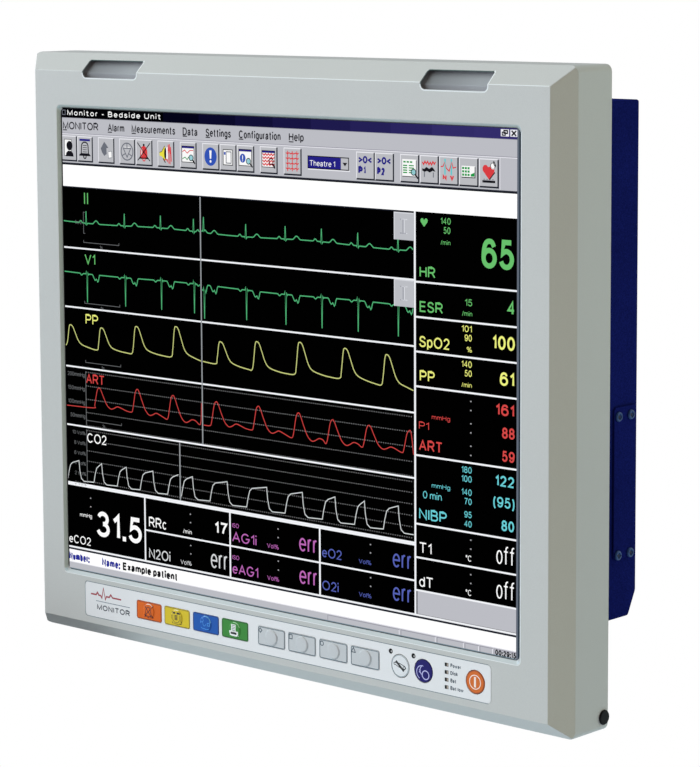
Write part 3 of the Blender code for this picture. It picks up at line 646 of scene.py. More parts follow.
# plain grotesque letters as centre lines: (width as a share of the capital's height, strokes);
# a width of 0 stands for one stroke's thickness
SMALL = 0.72                         # height of the small letters
ARCH = [(0, 0.44), (0.16, 0.62), (0.5, SMALL), (0.86, 0.63), (1, 0.42), (1, 0)]
S_LINE = [(0.94, 0.78), (0.8, 0.94), (0.5, 1), (0.2, 0.94), (0.06, 0.76), (0.16, 0.6),
          (0.5, 0.52), (0.85, 0.42), (1, 0.26), (0.86, 0.07), (0.5, 0), (0.16, 0.06), (0, 0.25)]
GLYPHS = {
    " ": (0.16, []),
    "0": (0.64, [loop(0.5, 0.5, 0.5, 0.5)]),
    "1": (0.34, [run((0, 0.75), (0.55, 0.86), (1, 1), (1, 0))]),
    "2": (0.62, [run(*bow(0.5, 0.71, 0.46, 0.29, 172, -38), (0.02, 0), (1, 0))]),
    "3": (0.62, [run(*bow(0.48, 0.755, 0.42, 0.245, 160, -88)),
                 run(*bow(0.48, 0.265, 0.5, 0.265, 88, -165))]),
    "4": (0.66, [run((0.74, 0), (0.74, 1), (0, 0.3), (1, 0.3))]),
    "5": (0.62, [run((0.9, 1), (0.22, 1), (0.1, 0.53), *bow(0.47, 0.32, 0.5, 0.32, 128, -162))]),
    "6": (0.63, [loop(0.5, 0.315, 0.5, 0.315),
                 bend((0, 0.33), (0.02, 0.55), (0.12, 0.82), (0.3, 0.96), (0.55, 1), (0.78, 0.95),
                      (0.93, 0.78))]),
    "7": (0.62, [run((0, 1), (1, 1),
                     *smooth_curve([(1, 1), (0.64, 0.6), (0.44, 0.28), (0.36, 0)], 0.15)[1:])]),
    "8": (0.63, [loop(0.5, 0.755, 0.42, 0.245), loop(0.5, 0.265, 0.5, 0.265)]),
    "9": (0.63, [loop(0.5, 0.685, 0.5, 0.315),
                 bend((1, 0.67), (0.98, 0.45), (0.88, 0.18), (0.7, 0.04), (0.45, 0), (0.22, 0.05),
                      (0.07, 0.22))]),
    "A": (0.80, [run((0, 0), (0.5, 1), (1, 0)), run((0.18, 0.34), (0.82, 0.34))]),
    "B": (0.68, [run((0, 0), (0, 1), (0.55, 1), *bow(0.55, 0.76, 0.38, 0.24, 90, -90), (0, 0.52)),
                 run((0.5, 0.52), *bow(0.58, 0.26, 0.42, 0.26, 90, -90), (0, 0))]),
    "C": (0.80, [run(*bow(0.5, 0.5, 0.5, 0.5, 40, 320))]),
    "D": (0.74, [(bow(0.42, 0.5, 0.58, 0.5, 90, -90) + [(0, 0), (0, 1)], True)]),
    "E": (0.64, [run((1, 1), (0, 1), (0, 0), (1, 0)), run((0, 0.53), (0.92, 0.53))]),
    "G": (0.84, [run(*bow(0.5, 0.5, 0.5, 0.5, 42, 352), (1, 0.46), (0.56, 0.46))]),
    "H": (0.72, [run((0, 0), (0, 1)), run((1, 0), (1, 1)), run((0, 0.53), (1, 0.53))]),
    "I": (0, [run((0, 0), (0, 1))]),
    "M": (0.86, [run((0, 0), (0, 1), (0.5, 0.04), (1, 1), (1, 0))]),
    "N": (0.72, [run((0, 0), (0, 1), (1, 0), (1, 1))]),
    "O": (0.86, [loop(0.5, 0.5, 0.5, 0.5, 30)]),
    "P": (0.68, [run((0, 0), (0, 1), (0.58, 1), *bow(0.58, 0.725, 0.42, 0.275, 90, -90),
                     (0, 0.45))]),
    "R": (0.74, [run((0, 0), (0, 1), (0.58, 1), *bow(0.58, 0.735, 0.38, 0.265, 90, -90),
                     (0, 0.47)), run((0.55, 0.47), (1, 0))]),
    "S": (0.68, [bend(*S_LINE)]),
    "T": (0.72, [run((0, 1), (1, 1)), run((0.5, 1), (0.5, 0))]),
    "U": (0.72, [bend((0, 1), (0, 0.36), (0.12, 0.08), (0.5, 0), (0.88, 0.08), (1, 0.36),
                      (1, 1))]),
    "V": (0.80, [run((0, 1), (0.5, 0), (1, 1))]),
    "a": (0.56, [bend((0.06, 0.5), (0.16, 0.66), (0.48, SMALL), (0.78, 0.66), (0.87, 0.5),
                      (0.87, 0.12), (1, 0)),
                 bend((0.86, 0.42), (0.4, 0.36), (0.08, 0.28), (0, 0.15), (0.12, 0.02), (0.4, 0),
                      (0.72, 0.1), (0.86, 0.26))]),
    "b": (0.56, [run((0, 1), (0, 0)), loop(0.5, 0.36, 0.5, 0.36)]),
    "c": (0.54, [run(*bow(0.5, 0.36, 0.5, 0.36, 42, 318))]),
    "d": (0.56, [run((1, 1), (1, 0)), loop(0.5, 0.36, 0.5, 0.36)]),
    "e": (0.58, [run((0.03, 0.38), (0.99, 0.38), *bow(0.5, 0.36, 0.5, 0.36, 12, 318))]),
    "f": (0.44, [run((1.02, 0.985), (0.74, 0.985), (0.5, 0.93), (0.4, 0.78), (0.4, 0)),
                 run((-0.14, SMALL), (0.96, SMALL))]),
    "g": (0.56, [loop(0.5, 0.36, 0.5, 0.36),
                 bend((1, SMALL), (1, 0), (0.92, -0.2), (0.5, -0.28), (0.1, -0.18))]),
    "h": (0.54, [run((0, 1), (0, 0)), bend(*ARCH)]),
    "i": (0, [run((0, SMALL), (0, 0)), run((0, 1.0))]),
    "k": (0.52, [run((0, 1), (0, 0)), run((1, SMALL), (0, 0.26)), run((0.36, 0.43), (1, 0))]),
    "l": (0, [run((0, 1), (0, 0))]),
    "m": (0.86, [run((0, SMALL), (0, 0)), bend(*[(x / 2, y) for x, y in ARCH]),
                 bend(*[(0.5 + x / 2, y) for x, y in ARCH])]),
    "n": (0.54, [run((0, SMALL), (0, 0)), bend(*ARCH)]),
    "o": (0.58, [loop(0.5, 0.36, 0.5, 0.36)]),
    "p": (0.56, [run((0, SMALL), (0, -0.28)), loop(0.5, 0.36, 0.5, 0.36)]),
    "r": (0.32, [run((0, SMALL), (0, 0)), bend((0, 0.42), (0.24, 0.63), (0.6, SMALL), (1, 0.69))]),
    "s": (0.50, [bend(*[(x, y * SMALL) for x, y in S_LINE])]),
    "t": (0.42, [run((0.38, 0.98), (0.38, 0.16), (0.48, 0.03), (0.68, 0), (1, 0.02)),
                 run((-0.16, SMALL), (0.98, SMALL))]),
    "u": (0.54, [bend((0, SMALL), (0, 0.28), (0.14, 0.08), (0.5, 0), (0.84, 0.1), (1, 0.3)),
                 run((1, SMALL), (1, 0))]),
    "w": (0.80, [run((0, SMALL), (0.25, 0), (0.5, SMALL), (0.75, 0), (1, SMALL))]),
    "x": (0.54, [run((0, 0), (1, SMALL)), run((0, SMALL), (1, 0))]),
    ".": (0, [run((0, 0))]),
    ":": (0, [run((0, 0)), run((0, 0.62))]),
    "/": (0.36, [run((0, -0.05), (1, 1))]),
    "%": (0.94, [loop(0.2, 0.76, 0.2, 0.22, 16), loop(0.8, 0.22, 0.2, 0.22, 16),
                 run((0.22, 0), (0.78, 1))]),
    "(": (0.26, [bend((1, 1.04), (0.3, 0.8), (0, 0.4), (0.3, -0.02), (1, -0.26))]),
    ")": (0.26, [bend((0, 1.04), (0.7, 0.8), (1, 0.4), (0.7, -0.02), (0, -0.26))]),
    ">": (0.58, [run((0, 0.8), (1, 0.45), (0, 0.1))]),
    "<": (0.58, [run((1, 0.8), (0, 0.45), (1, 0.1))]),
    "-": (0.36, [run((0, 0.38), (1, 0.38))]),
    "°": (0.34, [loop(0.5, 0.84, 0.5, 0.16, 14)]),
}


# =============================================================================
# painted highlight and painted shade lines along the bezel's edges
# =============================================================================
FRONT_HALF = 200.9                   # half the width of the flat front's upper edge
GRIP_GAP = 24.2                      # half the break in that edge at a recess
RIM_HALF, RIM_LOW, RIM_HIGH, RIM_LOW_R, RIM_HIGH_R = 23.85, 167.05, 178.05, 3.2, 1.0
WINDOW_HALF, WINDOW_LOW, WINDOW_R = 182.55, -142.15, 2.6


def on_bezel(x, z, out):
    """Off the bezel's front: its flat, or its upper chamfer above that."""
    return spot(x, max(0.0, z - FLAT_TOP) * CHAMFER_SLOPE - out, z)


def bezel_line(name, mat, points, width, step=None, front=0.035):
    art = Art(name, mat, on_bezel, front, -0.05, step=step)
    art.line(points, width)
    art.build()


edge_ends = [-FRONT_HALF] + [x + way * GRIP_GAP for x in GRIP_X for way in (-1, 1)] + [FRONT_HALF]
# a painted highlight along the upper edge of the flat front
for k in range(3):
    bezel_line(f"edge_painted_highlight_top_{k + 1}", painted_edge_highlight,
               [(x, FLAT_TOP + 0.02) for x in edge_ends[2 * k:2 * k + 2]], 0.40, step=6.0)
# round each finger recess: a painted highlight on its rim, painted shade along its left and upper
# inner edge
for side, x in zip(("left", "right"), GRIP_X):
    low_x, high_x = RIM_HALF - RIM_LOW_R, RIM_HALF - RIM_HIGH_R
    rim = (bow(x - low_x, RIM_LOW + RIM_LOW_R, RIM_LOW_R, RIM_LOW_R, 180, 270, 8)
           + bow(x + low_x, RIM_LOW + RIM_LOW_R, RIM_LOW_R, RIM_LOW_R, 270, 360, 8)
           + [(x + RIM_HALF, FLAT_TOP)]
           + bow(x + high_x, RIM_HIGH - RIM_HIGH_R, RIM_HIGH_R, RIM_HIGH_R, 0, 90, 4))
    bezel_line(f"grip_rim_painted_highlight_{side}", painted_edge_highlight, rim, 0.75, step=1.5)
    bezel_line(f"grip_crease_painted_shade_{side}", crease_shade,
               [(x - 23.6, 169.6), (x - 23.6, FLAT_TOP), (x - 23.6, 176.9), (x - 22.7, 177.9),
                (x + 22.6, 177.9)], 0.42, step=1.5, front=0.03)
# a painted highlight along the window's lower and right outer edge
corner_x, corner_z = WINDOW_HALF - WINDOW_R, WINDOW_LOW + WINDOW_R
bezel_line("window_edge_painted_highlight", painted_edge_highlight,
           bow(-corner_x, corner_z, WINDOW_R, WINDOW_R, 225, 270, 6)
           + bow(corner_x, corner_z, WINDOW_R, WINDOW_R, 270, 360, 8) + [(WINDOW_HALF, 147.0)],
           0.45)

# =============================================================================
# the picture on the screen: millimetres right and down from its top left corner
# =============================================================================
LEFT, TOP = -181.0, 148.9          # the picture's top left corner
WIDE, HIGH = 359.0, 288.8
FULL_WIDE = 361.2                  # with the dark margin at the right
LAYER = 0.055                      # thickness of one layer of the picture
COLUMN = 286.1                     # right end of the curve area
screen_art = []


def on_screen(x, y, out):
    x = min(max(x, 0.75), FULL_WIDE)
    y = min(max(y, 0.62), HIGH)
    return Vector(((LEFT + x) * MM, PANE_Y - out * MM, (TOP - y) * MM))


def ink(name, rgb, layer, gain=1.0):
    """One colour of the picture. Layer 0 lies on the pane, a higher one over a lower one."""
    art = Art("picture_" + name, glowing("lit_" + name, rgb, gain), on_screen,
              LAYER * (layer + 1), LAYER * layer + 0.008, down=True)
    screen_art.append(art)
    return art


ink("black", (1, 1, 1), 0).rect(0.0, 0.0, FULL_WIDE, HIGH)

# title bar, from black to violet blue
for k in range(12):
    share = min(1.0, max(0.0, (k - 2.4) / 8.0))
    band = ink(f"title_{k:02d}", (1 + 50 * share, 1 + 44 * share, 4 + 102 * share ** 0.62), 1)
    band.rect(k * WIDE / 12, 0.0, (k + 1) * WIDE / 12, 6.4)

# bars, table rules and the picture's edges
ink("lavender", (188, 189, 196), 1).rects(
    (0, 6.4, WIDE, 34.0), (288.2, 260.7, WIDE, 274.0), (0, 284.2, WIDE, HIGH))
white = ink("white", (255, 255, 255), 1, gain=1.04)
rule = ink("rule", (240, 242, 246), 2)
# the unlit margin at the right glows slate: a painted reflection on its dark border
ink("unlit_margin_painted_reflection", (98, 106, 119), 3).rect(358.7, 0.62, 360.1, HIGH)
ink("shadow_line", (34, 48, 60), 3).rect(360.1, 0.62, FULL_WIDE, HIGH)
ink("foot_line", (118, 136, 146), 3).rect(0.0, 288.25, 358.6, HIGH)
white.rects((0, 35.4, WIDE, 48.6), (0, 276.5, WIDE, 284.1))
for y in (86.5, 123.4, 160.6, 197.4):
    rule.rect(0, y - 0.5, COLUMN, y + 0.5)
rule.rects((0, 233.4, COLUMN, 235.6), (COLUMN, 48.6, 287.4, 274.6))
for x in (69.6, 142.1, 214.3):
    rule.rect(x - 0.6, 235.6, x + 0.6, 274.6)
rule.rect(70.2, 254.9, COLUMN, 255.9)
for y in (87.4, 106.9, 126.2, 145.6, 184.2, 222.9, 241.9, 260.6):
    rule.rect(287.4, y - 0.52, WIDE, y + 0.52)
rule.rect(0, 274.2, WIDE, 275.3)

edge_dark = ink("edge_dark", (34, 38, 48), 2)
edge_light = ink("edge_light", (236, 236, 242), 2)
mid_grey = ink("mid_grey", (150, 149, 162), 2)
edge_dark.rects((0, 34.0, WIDE, 34.9), (0, 48.6, 286.0, 49.2), (0, 275.5, WIDE, 276.4),
                (287.5, 261.2, 288.1, 274.1))
mid_grey.rect(0, 15.8, WIDE, 16.2)
edge_light.rects((0, 16.2, WIDE, 16.6), (0, 284.1, WIDE, 284.6))
mid_grey.rect(346.2, 16.6, 346.6, 34.0)
edge_light.rect(346.6, 16.6, 347.0, 34.0)
mid_grey.rect(0, 6.4, WIDE, 6.7)

face_grey = ink("button_face", (187, 188, 193), 2)
BUTTON_TOP, BUTTON_FOOT = 17.5, 33.2
BUTTONS = {                          # left and right edges
    "profile": (0.3, 14.0), "bell": (14.5, 28.2), "off_1": (33.0, 47.3), "off_2": (51.8, 65.5),
    "bell_crossed": (66.1, 80.4), "loud": (84.8, 99.0), "trend": (103.8, 117.7),
    "notice": (122.5, 136.5), "page": (136.9, 150.5), "notice_view": (150.8, 164.8),
    "events_view": (169.3, 183.3), "events": (188.1, 202.1), "zero_1": (243.8, 257.7),
    "zero_2": (257.7, 271.8), "table_view": (276.3, 290.2), "history": (290.6, 304.2),
    "leads": (304.5, 318.2), "table": (318.5, 332.1), "heart": (332.5, 346.1),
}
for left, right in BUTTONS.values():
    top, foot = BUTTON_TOP, BUTTON_FOOT
    face_grey.rect(left + 0.5, top + 0.5, right - 0.95, foot - 0.95)
    edge_light.rects((left, top, right - 0.4, top + 0.5),
                     (left, top + 0.5, left + 0.5, foot - 0.4))
    edge_dark.rects((left + 0.2, foot - 0.95, right, foot),
                    (right - 0.95, top + 0.2, right, foot - 0.95))

ink_black = ink("ink_black", (16, 16, 20), 4)
ink_dark = ink("menu_ink", (38, 38, 44), 3)
ink_white = ink("ink_white", (250, 250, 250), 3)
ink_navy = ink("ink_navy", (36, 32, 130), 3)
ink_red = ink("ink_red", (216, 62, 66), 4)
ink_green = ink("ink_green", (30, 150, 70), 4)
ink_cyan = ink("ink_cyan", (90, 200, 205), 4)
ink_grey = ink("ink_grey", (108, 112, 122), 4)
ink_blue = ink("ink_blue", (52, 84, 180), 4)
ink_pale = ink("ink_pale", (252, 252, 252), 5)
ink_line = ink("ink_line", (22, 22, 28), 5)
ink_yellow = ink("ink_yellow", (232, 222, 70), 3)

# title, window buttons and menu words
ink_white.text("Monitor - Bedside Unit", 5.8, 4.95, 3.3, width=82.0, weight=0.012, gap=0.26)
ink_grey.frame(1.0, 1.7, 4.2, 4.9, 0.5)
edge_light.rects((347.4, 1.3, 353.0, 5.1), (353.9, 1.3, 358.7, 5.1))
ink_line.frame(349.3, 1.6, 352.4, 3.8, 0.75)
ink_line.frame(348.2, 2.6, 350.9, 4.8, 0.65)
ink_line.lines(0.85, [(354.9, 1.9), (358.0, 4.6)], [(354.9, 4.6), (358.0, 1.9)])
MENU = (("MONITOR", 1.6, 33.4), ("Alarm", 41.8, 56.3), ("Measurements", 62.7, 99.9),
        ("Data", 106.3, 118.7), ("Settings", 125.4, 146.0), ("Configuration", 152.5, 185.8),
        ("Help", 192.3, 203.9))      # word, left and right ends
for word, left, right in MENU:
    ink_dark.text(word, left, 13.6, 4.7, width=right - left, weight=0.013, gap=0.11)
    ink_dark.rect(left, 13.75, left + 3.6, 14.35)


# --- toolbar pictures, drawn from the middle of each button ---------------------
def on_button(key, shift=0.0):
    return origin(sum(BUTTONS[key]) / 2 - 0.2 + shift, 25.2)


ink_lens = ink("ink_lens", (152, 206, 214), 4)


def magnifier(x, y):
    radius = 1.7
    ink_line.ring(x, y, radius, 0.5, 20)
    ink_lens.disc(x, y, radius - 0.25, radius - 0.25, 16)
    ink_line.line([(x + radius * 0.8, y + radius * 0.8), (x + radius * 1.9, y + radius * 2.0)],
                  0.95)


def window_icon():
    ink_white.rect(-4.9, -4.0, 4.9, 4.0)
    ink_navy.rect(-5.2, -5.4, 5.2, -4.2)
    ink_black.frame(-5.3, -5.5, 5.2, 4.3, 0.4)


def zigzag(left, y, pitch, odd, even):
    return [(left + i * pitch, y + (odd if i % 2 else even)) for i in range(9)]


with on_button("profile"):           # a sheet with a plain bust outline
    ink_white.rect(-4.2, -5.4, 2.0, 4.6)
    ink_black.frame(-4.4, -5.6, 2.2, 4.8, 0.35)
    ink_line.disc(0.4, -1.6, 2.7, 2.9, 24)
    ink_line.plate([(-3.0, 5.0), (-2.6, 2.9), (-1.0, 1.6), (1.8, 1.6), (3.6, 3.0), (4.0, 5.0)])

with on_button("bell"):
    ink_navy.rect(-4.8, -6.2, 4.6, -4.9)
    ink_line.line([(-3.2, 2.6), (-2.9, -2.2), (-2.3, -3.4), (-0.9, -4.2), (0.9, -4.2),
                   (2.3, -3.4), (2.9, -2.2), (3.2, 2.6)], 0.80)
    ink_line.plate([(-5.0, 3.6), (-3.6, 2.5), (3.6, 2.5), (5.0, 3.6), (5.0, 4.2), (-5.0, 4.2)])
    ink_line.ring(0, 4.6, 1.1, 0.75, 14)
    for k in range(4):
        ink_line.rect(-1.8, -2.4 + k * 1.3, 1.8, -2.0 + k * 1.3)

with on_button("off_1"):             # greyed-out picture
    ink_grey.plate([(-4.6, -1.0), (-1.4, -5.2), (2.2, -1.6), (0.4, -1.4), (0.6, 2.2),
                    (-1.6, 3.4), (-3.4, 1.4)])
    ink_white.plate([(1.6, 0.6), (4.9, 0.2), (5.2, 4.2), (2.2, 4.6)])
    ink_grey.line([(1.8, 0.8), (5.0, 0.3), (5.2, 4.2), (2.2, 4.6), (1.8, 0.8)], 0.3)

with on_button("off_2"):             # greyed-out triangle in a ring
    ink_grey.ring(0, 0, 5.1, 0.70, 36)
    ink_grey.line([(-3.2, -2.0), (3.2, -2.0), (0.0, 3.4), (-3.2, -2.0)], 0.65)
    ink_white.line([(-2.4, -2.6), (2.4, -2.6)], 0.35)
    ink_grey.lines(0.6, [(0.0, -5.0), (0.0, -2.0)], [(-4.4, 2.6), (-1.4, 1.2)],
                   [(4.4, 2.6), (1.4, 1.2)])

with on_button("bell_crossed"):
    ink_red.plate([(-3.1, 3.0), (-2.9, -1.2), (-2.2, -3.0), (-0.8, -3.9), (0.8, -3.9),
                   (2.2, -3.0), (2.9, -1.2), (3.1, 3.0)])
    ink_red.ring(0, 3.9, 1.1, 0.6, 14)
    ink_line.lines(0.62, [(-5.4, -5.8), (5.2, 4.8)], [(5.4, -5.8), (-5.2, 4.8)])
    ink_black.plate([(-4.6, 3.8), (-3.2, 2.7), (3.2, 2.7), (4.6, 3.8)])
    ink_black.disc(0, -4.5, 0.8, 0.8, 12)
    ink_pale.line([(-1.6, -2.4), (-1.9, 1.8)], 0.5)

with on_button("loud"):
    ink_yellow.plate([(-5.2, -0.8), (-3.4, -1.2), (-0.6, -4.6), (-0.6, 4.2), (-3.4, 1.6),
                      (-5.2, 1.2)])
    ink_line.line([(-5.2, -0.8), (-3.4, -1.2), (-0.6, -4.8)], 0.35)
    ink_black.disc(-0.3, -0.3, 0.9, 3.4, 20)
    ink_pale.plate([(0.6, -3.6), (1.8, -4.4), (1.8, 3.0), (0.6, 2.6)])
    ink_red.line([(-1.8, 3.8), (0.6, 3.2), (1.6, 4.6), (2.2, -5.6), (2.7, 5.6), (3.2, -6.0),
                  (3.7, 6.0), (4.2, -4.4), (4.8, 4.4)], 0.62)
    ink_line.line([(-2.2, 2.6), (-0.2, 5.2)], 0.6)

with on_button("trend"):
    window_icon()
    ink_red.line([(-4.6, -1.9), (-2.9, -3.0), (-0.6, -1.2), (1.6, -2.9), (4.4, -3.0)], 0.5)
    ink_green.line([(-4.6, 2.2), (-2.4, 1.2), (-0.8, 2.6), (0.8, 0.8)], 0.5)
    magnifier(2.6, 1.4)

with on_button("notice"):
    ink_blue.disc(0, 0, 5.0, 5.4, 36)
    ink_pale.plate([(-0.9, -3.6), (0.9, -3.6), (0.55, 1.2), (-0.55, 1.2)])
    ink_pale.disc(0, 2.8, 0.75, 0.75, 12)

with on_button("page"):
    ink_white.rect(-3.6, -4.6, 3.6, 4.2)
    ink_black.line([(-3.8, -4.6), (3.8, -4.6), (3.8, 4.3), (-3.8, 4.3), (-3.8, -4.6)], 0.45)
    ink_grey.line([(-1.4, -3.4), (2.6, -3.4), (2.6, 3.2), (-1.4, 3.2), (-1.4, -3.4)], 0.55)
    ink_blue.rect(-3.2, -3.2, -1.9, -1.6)

with on_button("notice_view"):
    window_icon()
    ink_blue.disc(-2.1, -0.2, 2.3, 2.6, 24)
    ink_pale.rects((-2.4, -1.8, -1.8, 0.6), (-2.4, 1.1, -1.8, 1.6))
    magnifier(2.6, 1.4)

with on_button("events_view"):
    window_icon()
    for k in range(4):
        ink_red.line(zigzag(-4.6, -3.2 + k * 1.9, 1.15, 0.55, -0.45), 0.75)
    ink_line.ring(2.2, 0.8, 1.7, 0.6, 18)
    ink_line.line([(3.5, 2.1), (5.2, 4.6)], 1.0)

with on_button("events"):
    for k in range(4):
        ink_red.line(zigzag(-5.0, -4.6 + k * 2.9, 1.25, 0.35, -0.3), 0.62)
    for x in (-3.6, 0.0, 3.6):
        ink_red.line([(x, -6.0), (x, 5.6)], 0.55)

# choice box
left, right, top, foot = 206.8, 238.4, 21.2, 28.6
ink_black.frame(left, top, right, foot, 0.55)
edge_light.rect(left, foot, right + 0.5, foot + 0.6)
ink_navy.rect(left + 0.55, top + 0.55, 232.2, foot - 0.55)
ink_pale.text("Theatre 1", left + 1.6, 27.0, 3.2, width=19.5, weight=-0.004)
face_grey.rect(232.4, top + 0.55, right - 0.55, foot - 0.55)
ink_line.plate([(233.6, 24.2), (237.2, 24.2), (235.4, 26.2)])

for key, label in (("zero_1", "P1"), ("zero_2", "P2")):
    with on_button(key):
        ink_navy.text(">0<", -5.3, -1.3, 4.2, width=10.4, weight=0.040, gap=0.06)
        ink_navy.text(label, -5.2, 4.7, 4.2, width=5.6, weight=0.055)

with on_button("table_view"):
    ink_white.rect(-5.2, -5.0, 5.0, 4.2)
    for k in range(3):
        ink_green.rect(-4.4 + k * 2.4, -4.0, -2.7 + k * 2.4, -3.1)
    for k in range(4):
        ink_green.rects((-4.6, -1.9 + k * 1.3, -1.6, -1.2 + k * 1.3),
                        (-0.4, -1.9 + k * 1.3, 3.2, -1.3 + k * 1.3))
    ink_line.line([(-5.0, 4.5), (5.0, 4.5), (5.0, -4.6)], 0.35)
    magnifier(3.0, 1.9)

with on_button("history"):
    ink_red.line([(-4.8 + i * 0.95, -3.6 + (0.9 if i % 2 else -0.8) * (0.5 if i % 3 == 0 else 1))
                  for i in range(11)], 0.75)
    ink_line.plate([(-4.8, -0.6), (-3.4, -0.2), (-1.8, -1.4), (0.2, -0.4), (2.2, -1.6),
                    (3.6, -0.4), (4.6, 1.0), (2.6, 0.6), (0.6, 1.6), (-1.4, 0.8), (-3.2, 1.4),
                    (-4.8, 0.6)])
    ink_grey.rects((-3.6, 1.4, -3.0, 4.2), (2.8, 1.4, 3.4, 4.2))

with on_button("leads"):
    ink_cyan.rects((-3.0, -6.4, -2.1, 2.2), (1.5, -6.4, 2.4, 2.2))
    ink_red.line([(-5.6, -2.0), (-3.9, -2.3), (-2.7, -4.6), (-1.7, -1.4), (0.4, 0.2),
                  (1.7, -3.2), (2.2, -4.8), (3.2, -1.6), (5.4, -2.2)], 0.60)
    ink_red.text("N", -4.2, 5.2, 3.0, width=2.8, weight=0.07)
    ink_red.text("V", 0.9, 5.2, 3.0, width=3.0, weight=0.07)

with on_button("table"):
    ink_white.rect(-4.8, -3.2, 4.4, 2.8)
    ink_black.line([(-4.8, 3.0), (4.6, 3.0), (4.6, -2.8)], 0.5)
    for k in range(3):
        for i in range(3):
            ink_green.rect(-4.4 + i * 1.9, -2.6 + k * 1.8, -3.0 + i * 1.9, -1.4 + k * 1.8)
    ink_green.plate([(1.6, 1.2), (4.2, 0.2), (4.2, 2.4), (1.6, 2.4)])

with on_button("heart", shift=0.4):
    ink_red.plate([(0.0, 3.6), (-4.4, -1.2), (-4.6, -2.8), (-3.6, -4.2), (-2.0, -4.4),
                   (-0.6, -3.2), (0.6, -3.6), (2.2, -3.6), (3.6, -2.4), (3.6, -0.8)])
    ink_pale.disc(2.6, -4.0, 1.5, 1.9, 16)
    ink_line.ring(2.6, -4.0, 1.6, 0.45, 16)
    ink_line.plate([(2.4, -5.8), (3.4, -6.8), (4.9, -4.0), (4.0, -3.2)])
    ink_line.line([(0.2, 3.5), (4.0, -0.6)], 0.6)
    ink_line.rect(-4.6, 3.9, 4.2, 5.2)
    for k in range(4):
        ink_grey.rect(-3.9 + k * 2.0, 3.2, -2.9 + k * 2.0, 3.6)

# --- curve area --------------------------------------------------------------
dim = ink("dim_grey", (104, 106, 108), 2)
dim_dots = ink("grid_dots", (124, 124, 126), 1)
sweep = ink("sweep_line", (150, 154, 158), 3)
green = ink("green", (104, 192, 108), 2)
yellow = ink("yellow", (235, 238, 126), 2)
red = ink("red", (212, 72, 70), 2)
pale = ink("pale_grey", (214, 216, 218), 2)
bright = ink("bright_white", (250, 250, 250), 2)
magenta = ink("magenta", (188, 104, 182), 2)
blue = ink("blue", (86, 98, 180), 2)
cyan = ink("cyan", (106, 206, 214), 2)
trace_green = ink("trace_green", (80, 178, 118), 2)
trace_yellow = ink("trace_yellow", (200, 206, 128), 2)
trace_red = ink("trace_red", (196, 66, 64), 2)
trace_pale = ink("trace_pale", (208, 212, 214), 2)
dash = ink("limit_dash", (168, 168, 172), 2)

sweep.rects((119.7, 49.3, 120.6, 197.0), (100.1, 198.0, 101.0, 233.4))
BEFORE_SWEEP, AFTER_SWEEP = (0.6, 119.4), (121.0, 285.6)     # ends of the curves
BEATS = (21.1, 55.1, 86.4, 114.3, 122.7, 157.3, 188.8, 217.0, 244.6, 274.5)
# strokes: (delay, rise) of the narrow spikes; waves: (delay, width, rise) of the round ones
LEAD_II = {"strokes": [(-1.0, 0.0), (-0.55, -0.6), (0.0, 7.4), (0.45, -1.1), (0.9, -0.3),
                       (1.5, 0.0)],
           "waves": [(-4.8, 3.6, 1.3), (8.9, 6.6, 2.0)]}
LEAD_V1 = {"strokes": [(-0.9, 0.0), (-0.5, 1.8), (0.1, -17.6), (0.7, 0.9), (1.4, -0.5)],
           "waves": [(-4.8, 3.4, -1.1), (7.4, 5.4, -3.4), (9.8, 3.2, -4.2)]}


def hump(x, crest, width, rise):
    """One rounded wave of an ECG."""
    share = (x - crest) / (width / 2)
    return rise * (0.5 + 0.5 * math.cos(math.pi * share)) if abs(share) < 1 else 0.0


def ecg(start, stop, base, shape):
    """Samples every 0.6 mm, with each beat's narrow strokes put in exactly."""
    beats = [beat for beat in BEATS if start - 10 < beat < stop + 6]
    marks = {}
    x = start
    while x < stop:
        marks[round(x, 3)] = 0.0
        x += 0.6
    for beat in beats:
        strokes = {round(beat + delay, 3): rise for delay, rise in shape["strokes"]}
        first, last = min(strokes), max(strokes)
        marks = {x: rise for x, rise in marks.items() if x in strokes or not first < x < last}
        marks.update({x: rise for x, rise in strokes.items() if start <= x <= stop})
    out = []
    for x in sorted(marks):
        rise = marks[x] + sum(hump(x, beat + delay, width, high) for beat in beats
                              for delay, width, high in shape["waves"])
        out.append((x, base(x) - rise))
    return out


for ends in (BEFORE_SWEEP, AFTER_SWEEP):
    trace_green.line(ecg(*ends, lambda x: 70.2 + 0.5 * math.sin(x / 19.0), LEAD_II), 0.62)
    trace_green.line(ecg(*ends, lambda x: 101.6 + 0.4 * math.sin(x / 23.0), LEAD_V1), 0.62)


def swing(start, stop, base, beats, shape):
    """A curve of beats (crest's place, height), each shaped by (delay, share of the height).

    The first delay is how long before its crest a beat begins.
    """
    out = [(start, base(start))]
    for k, (crest, high) in enumerate(beats):
        until = beats[k + 1][0] + shape[0][0] - 0.6 if k + 1 < len(beats) else stop
        for delay, share in shape:
            x = crest + delay
            limit = stop if delay <= 0 else min(until, stop)
            if start + 0.4 < x < limit - 0.3:
                out.append((x, base(x) - high * share))
    crest, high = beats[-1]
    out.append((stop, base(stop) - (high * 0.9 if crest > stop else 0.0)))
    return smooth_curve(out)


PULSE_SHAPE = [(-4.2, 0.0), (-2.9, 0.22), (-1.3, 0.90), (0.0, 1.0), (1.9, 0.94), (4.0, 0.68),
               (6.6, 0.34), (9.6, 0.16), (15.5, 0.06), (23.0, 0.0)]
PULSES = (
    (BEFORE_SWEEP, ((5.4, 13.0), (33.3, 14.0), (64.2, 16.6), (98.4, 18.4))),
    (AFTER_SWEEP, ((135.7, 13.6), (165.4, 17.0), (199.6, 18.6), (234.6, 17.4), (266.0, 17.6))),
)
for ends, beats in PULSES:
    trace_yellow.line(swing(*ends, lambda x: 147.5 + 0.9 * math.sin(x / 21.0), beats,
                            PULSE_SHAPE), 0.62)

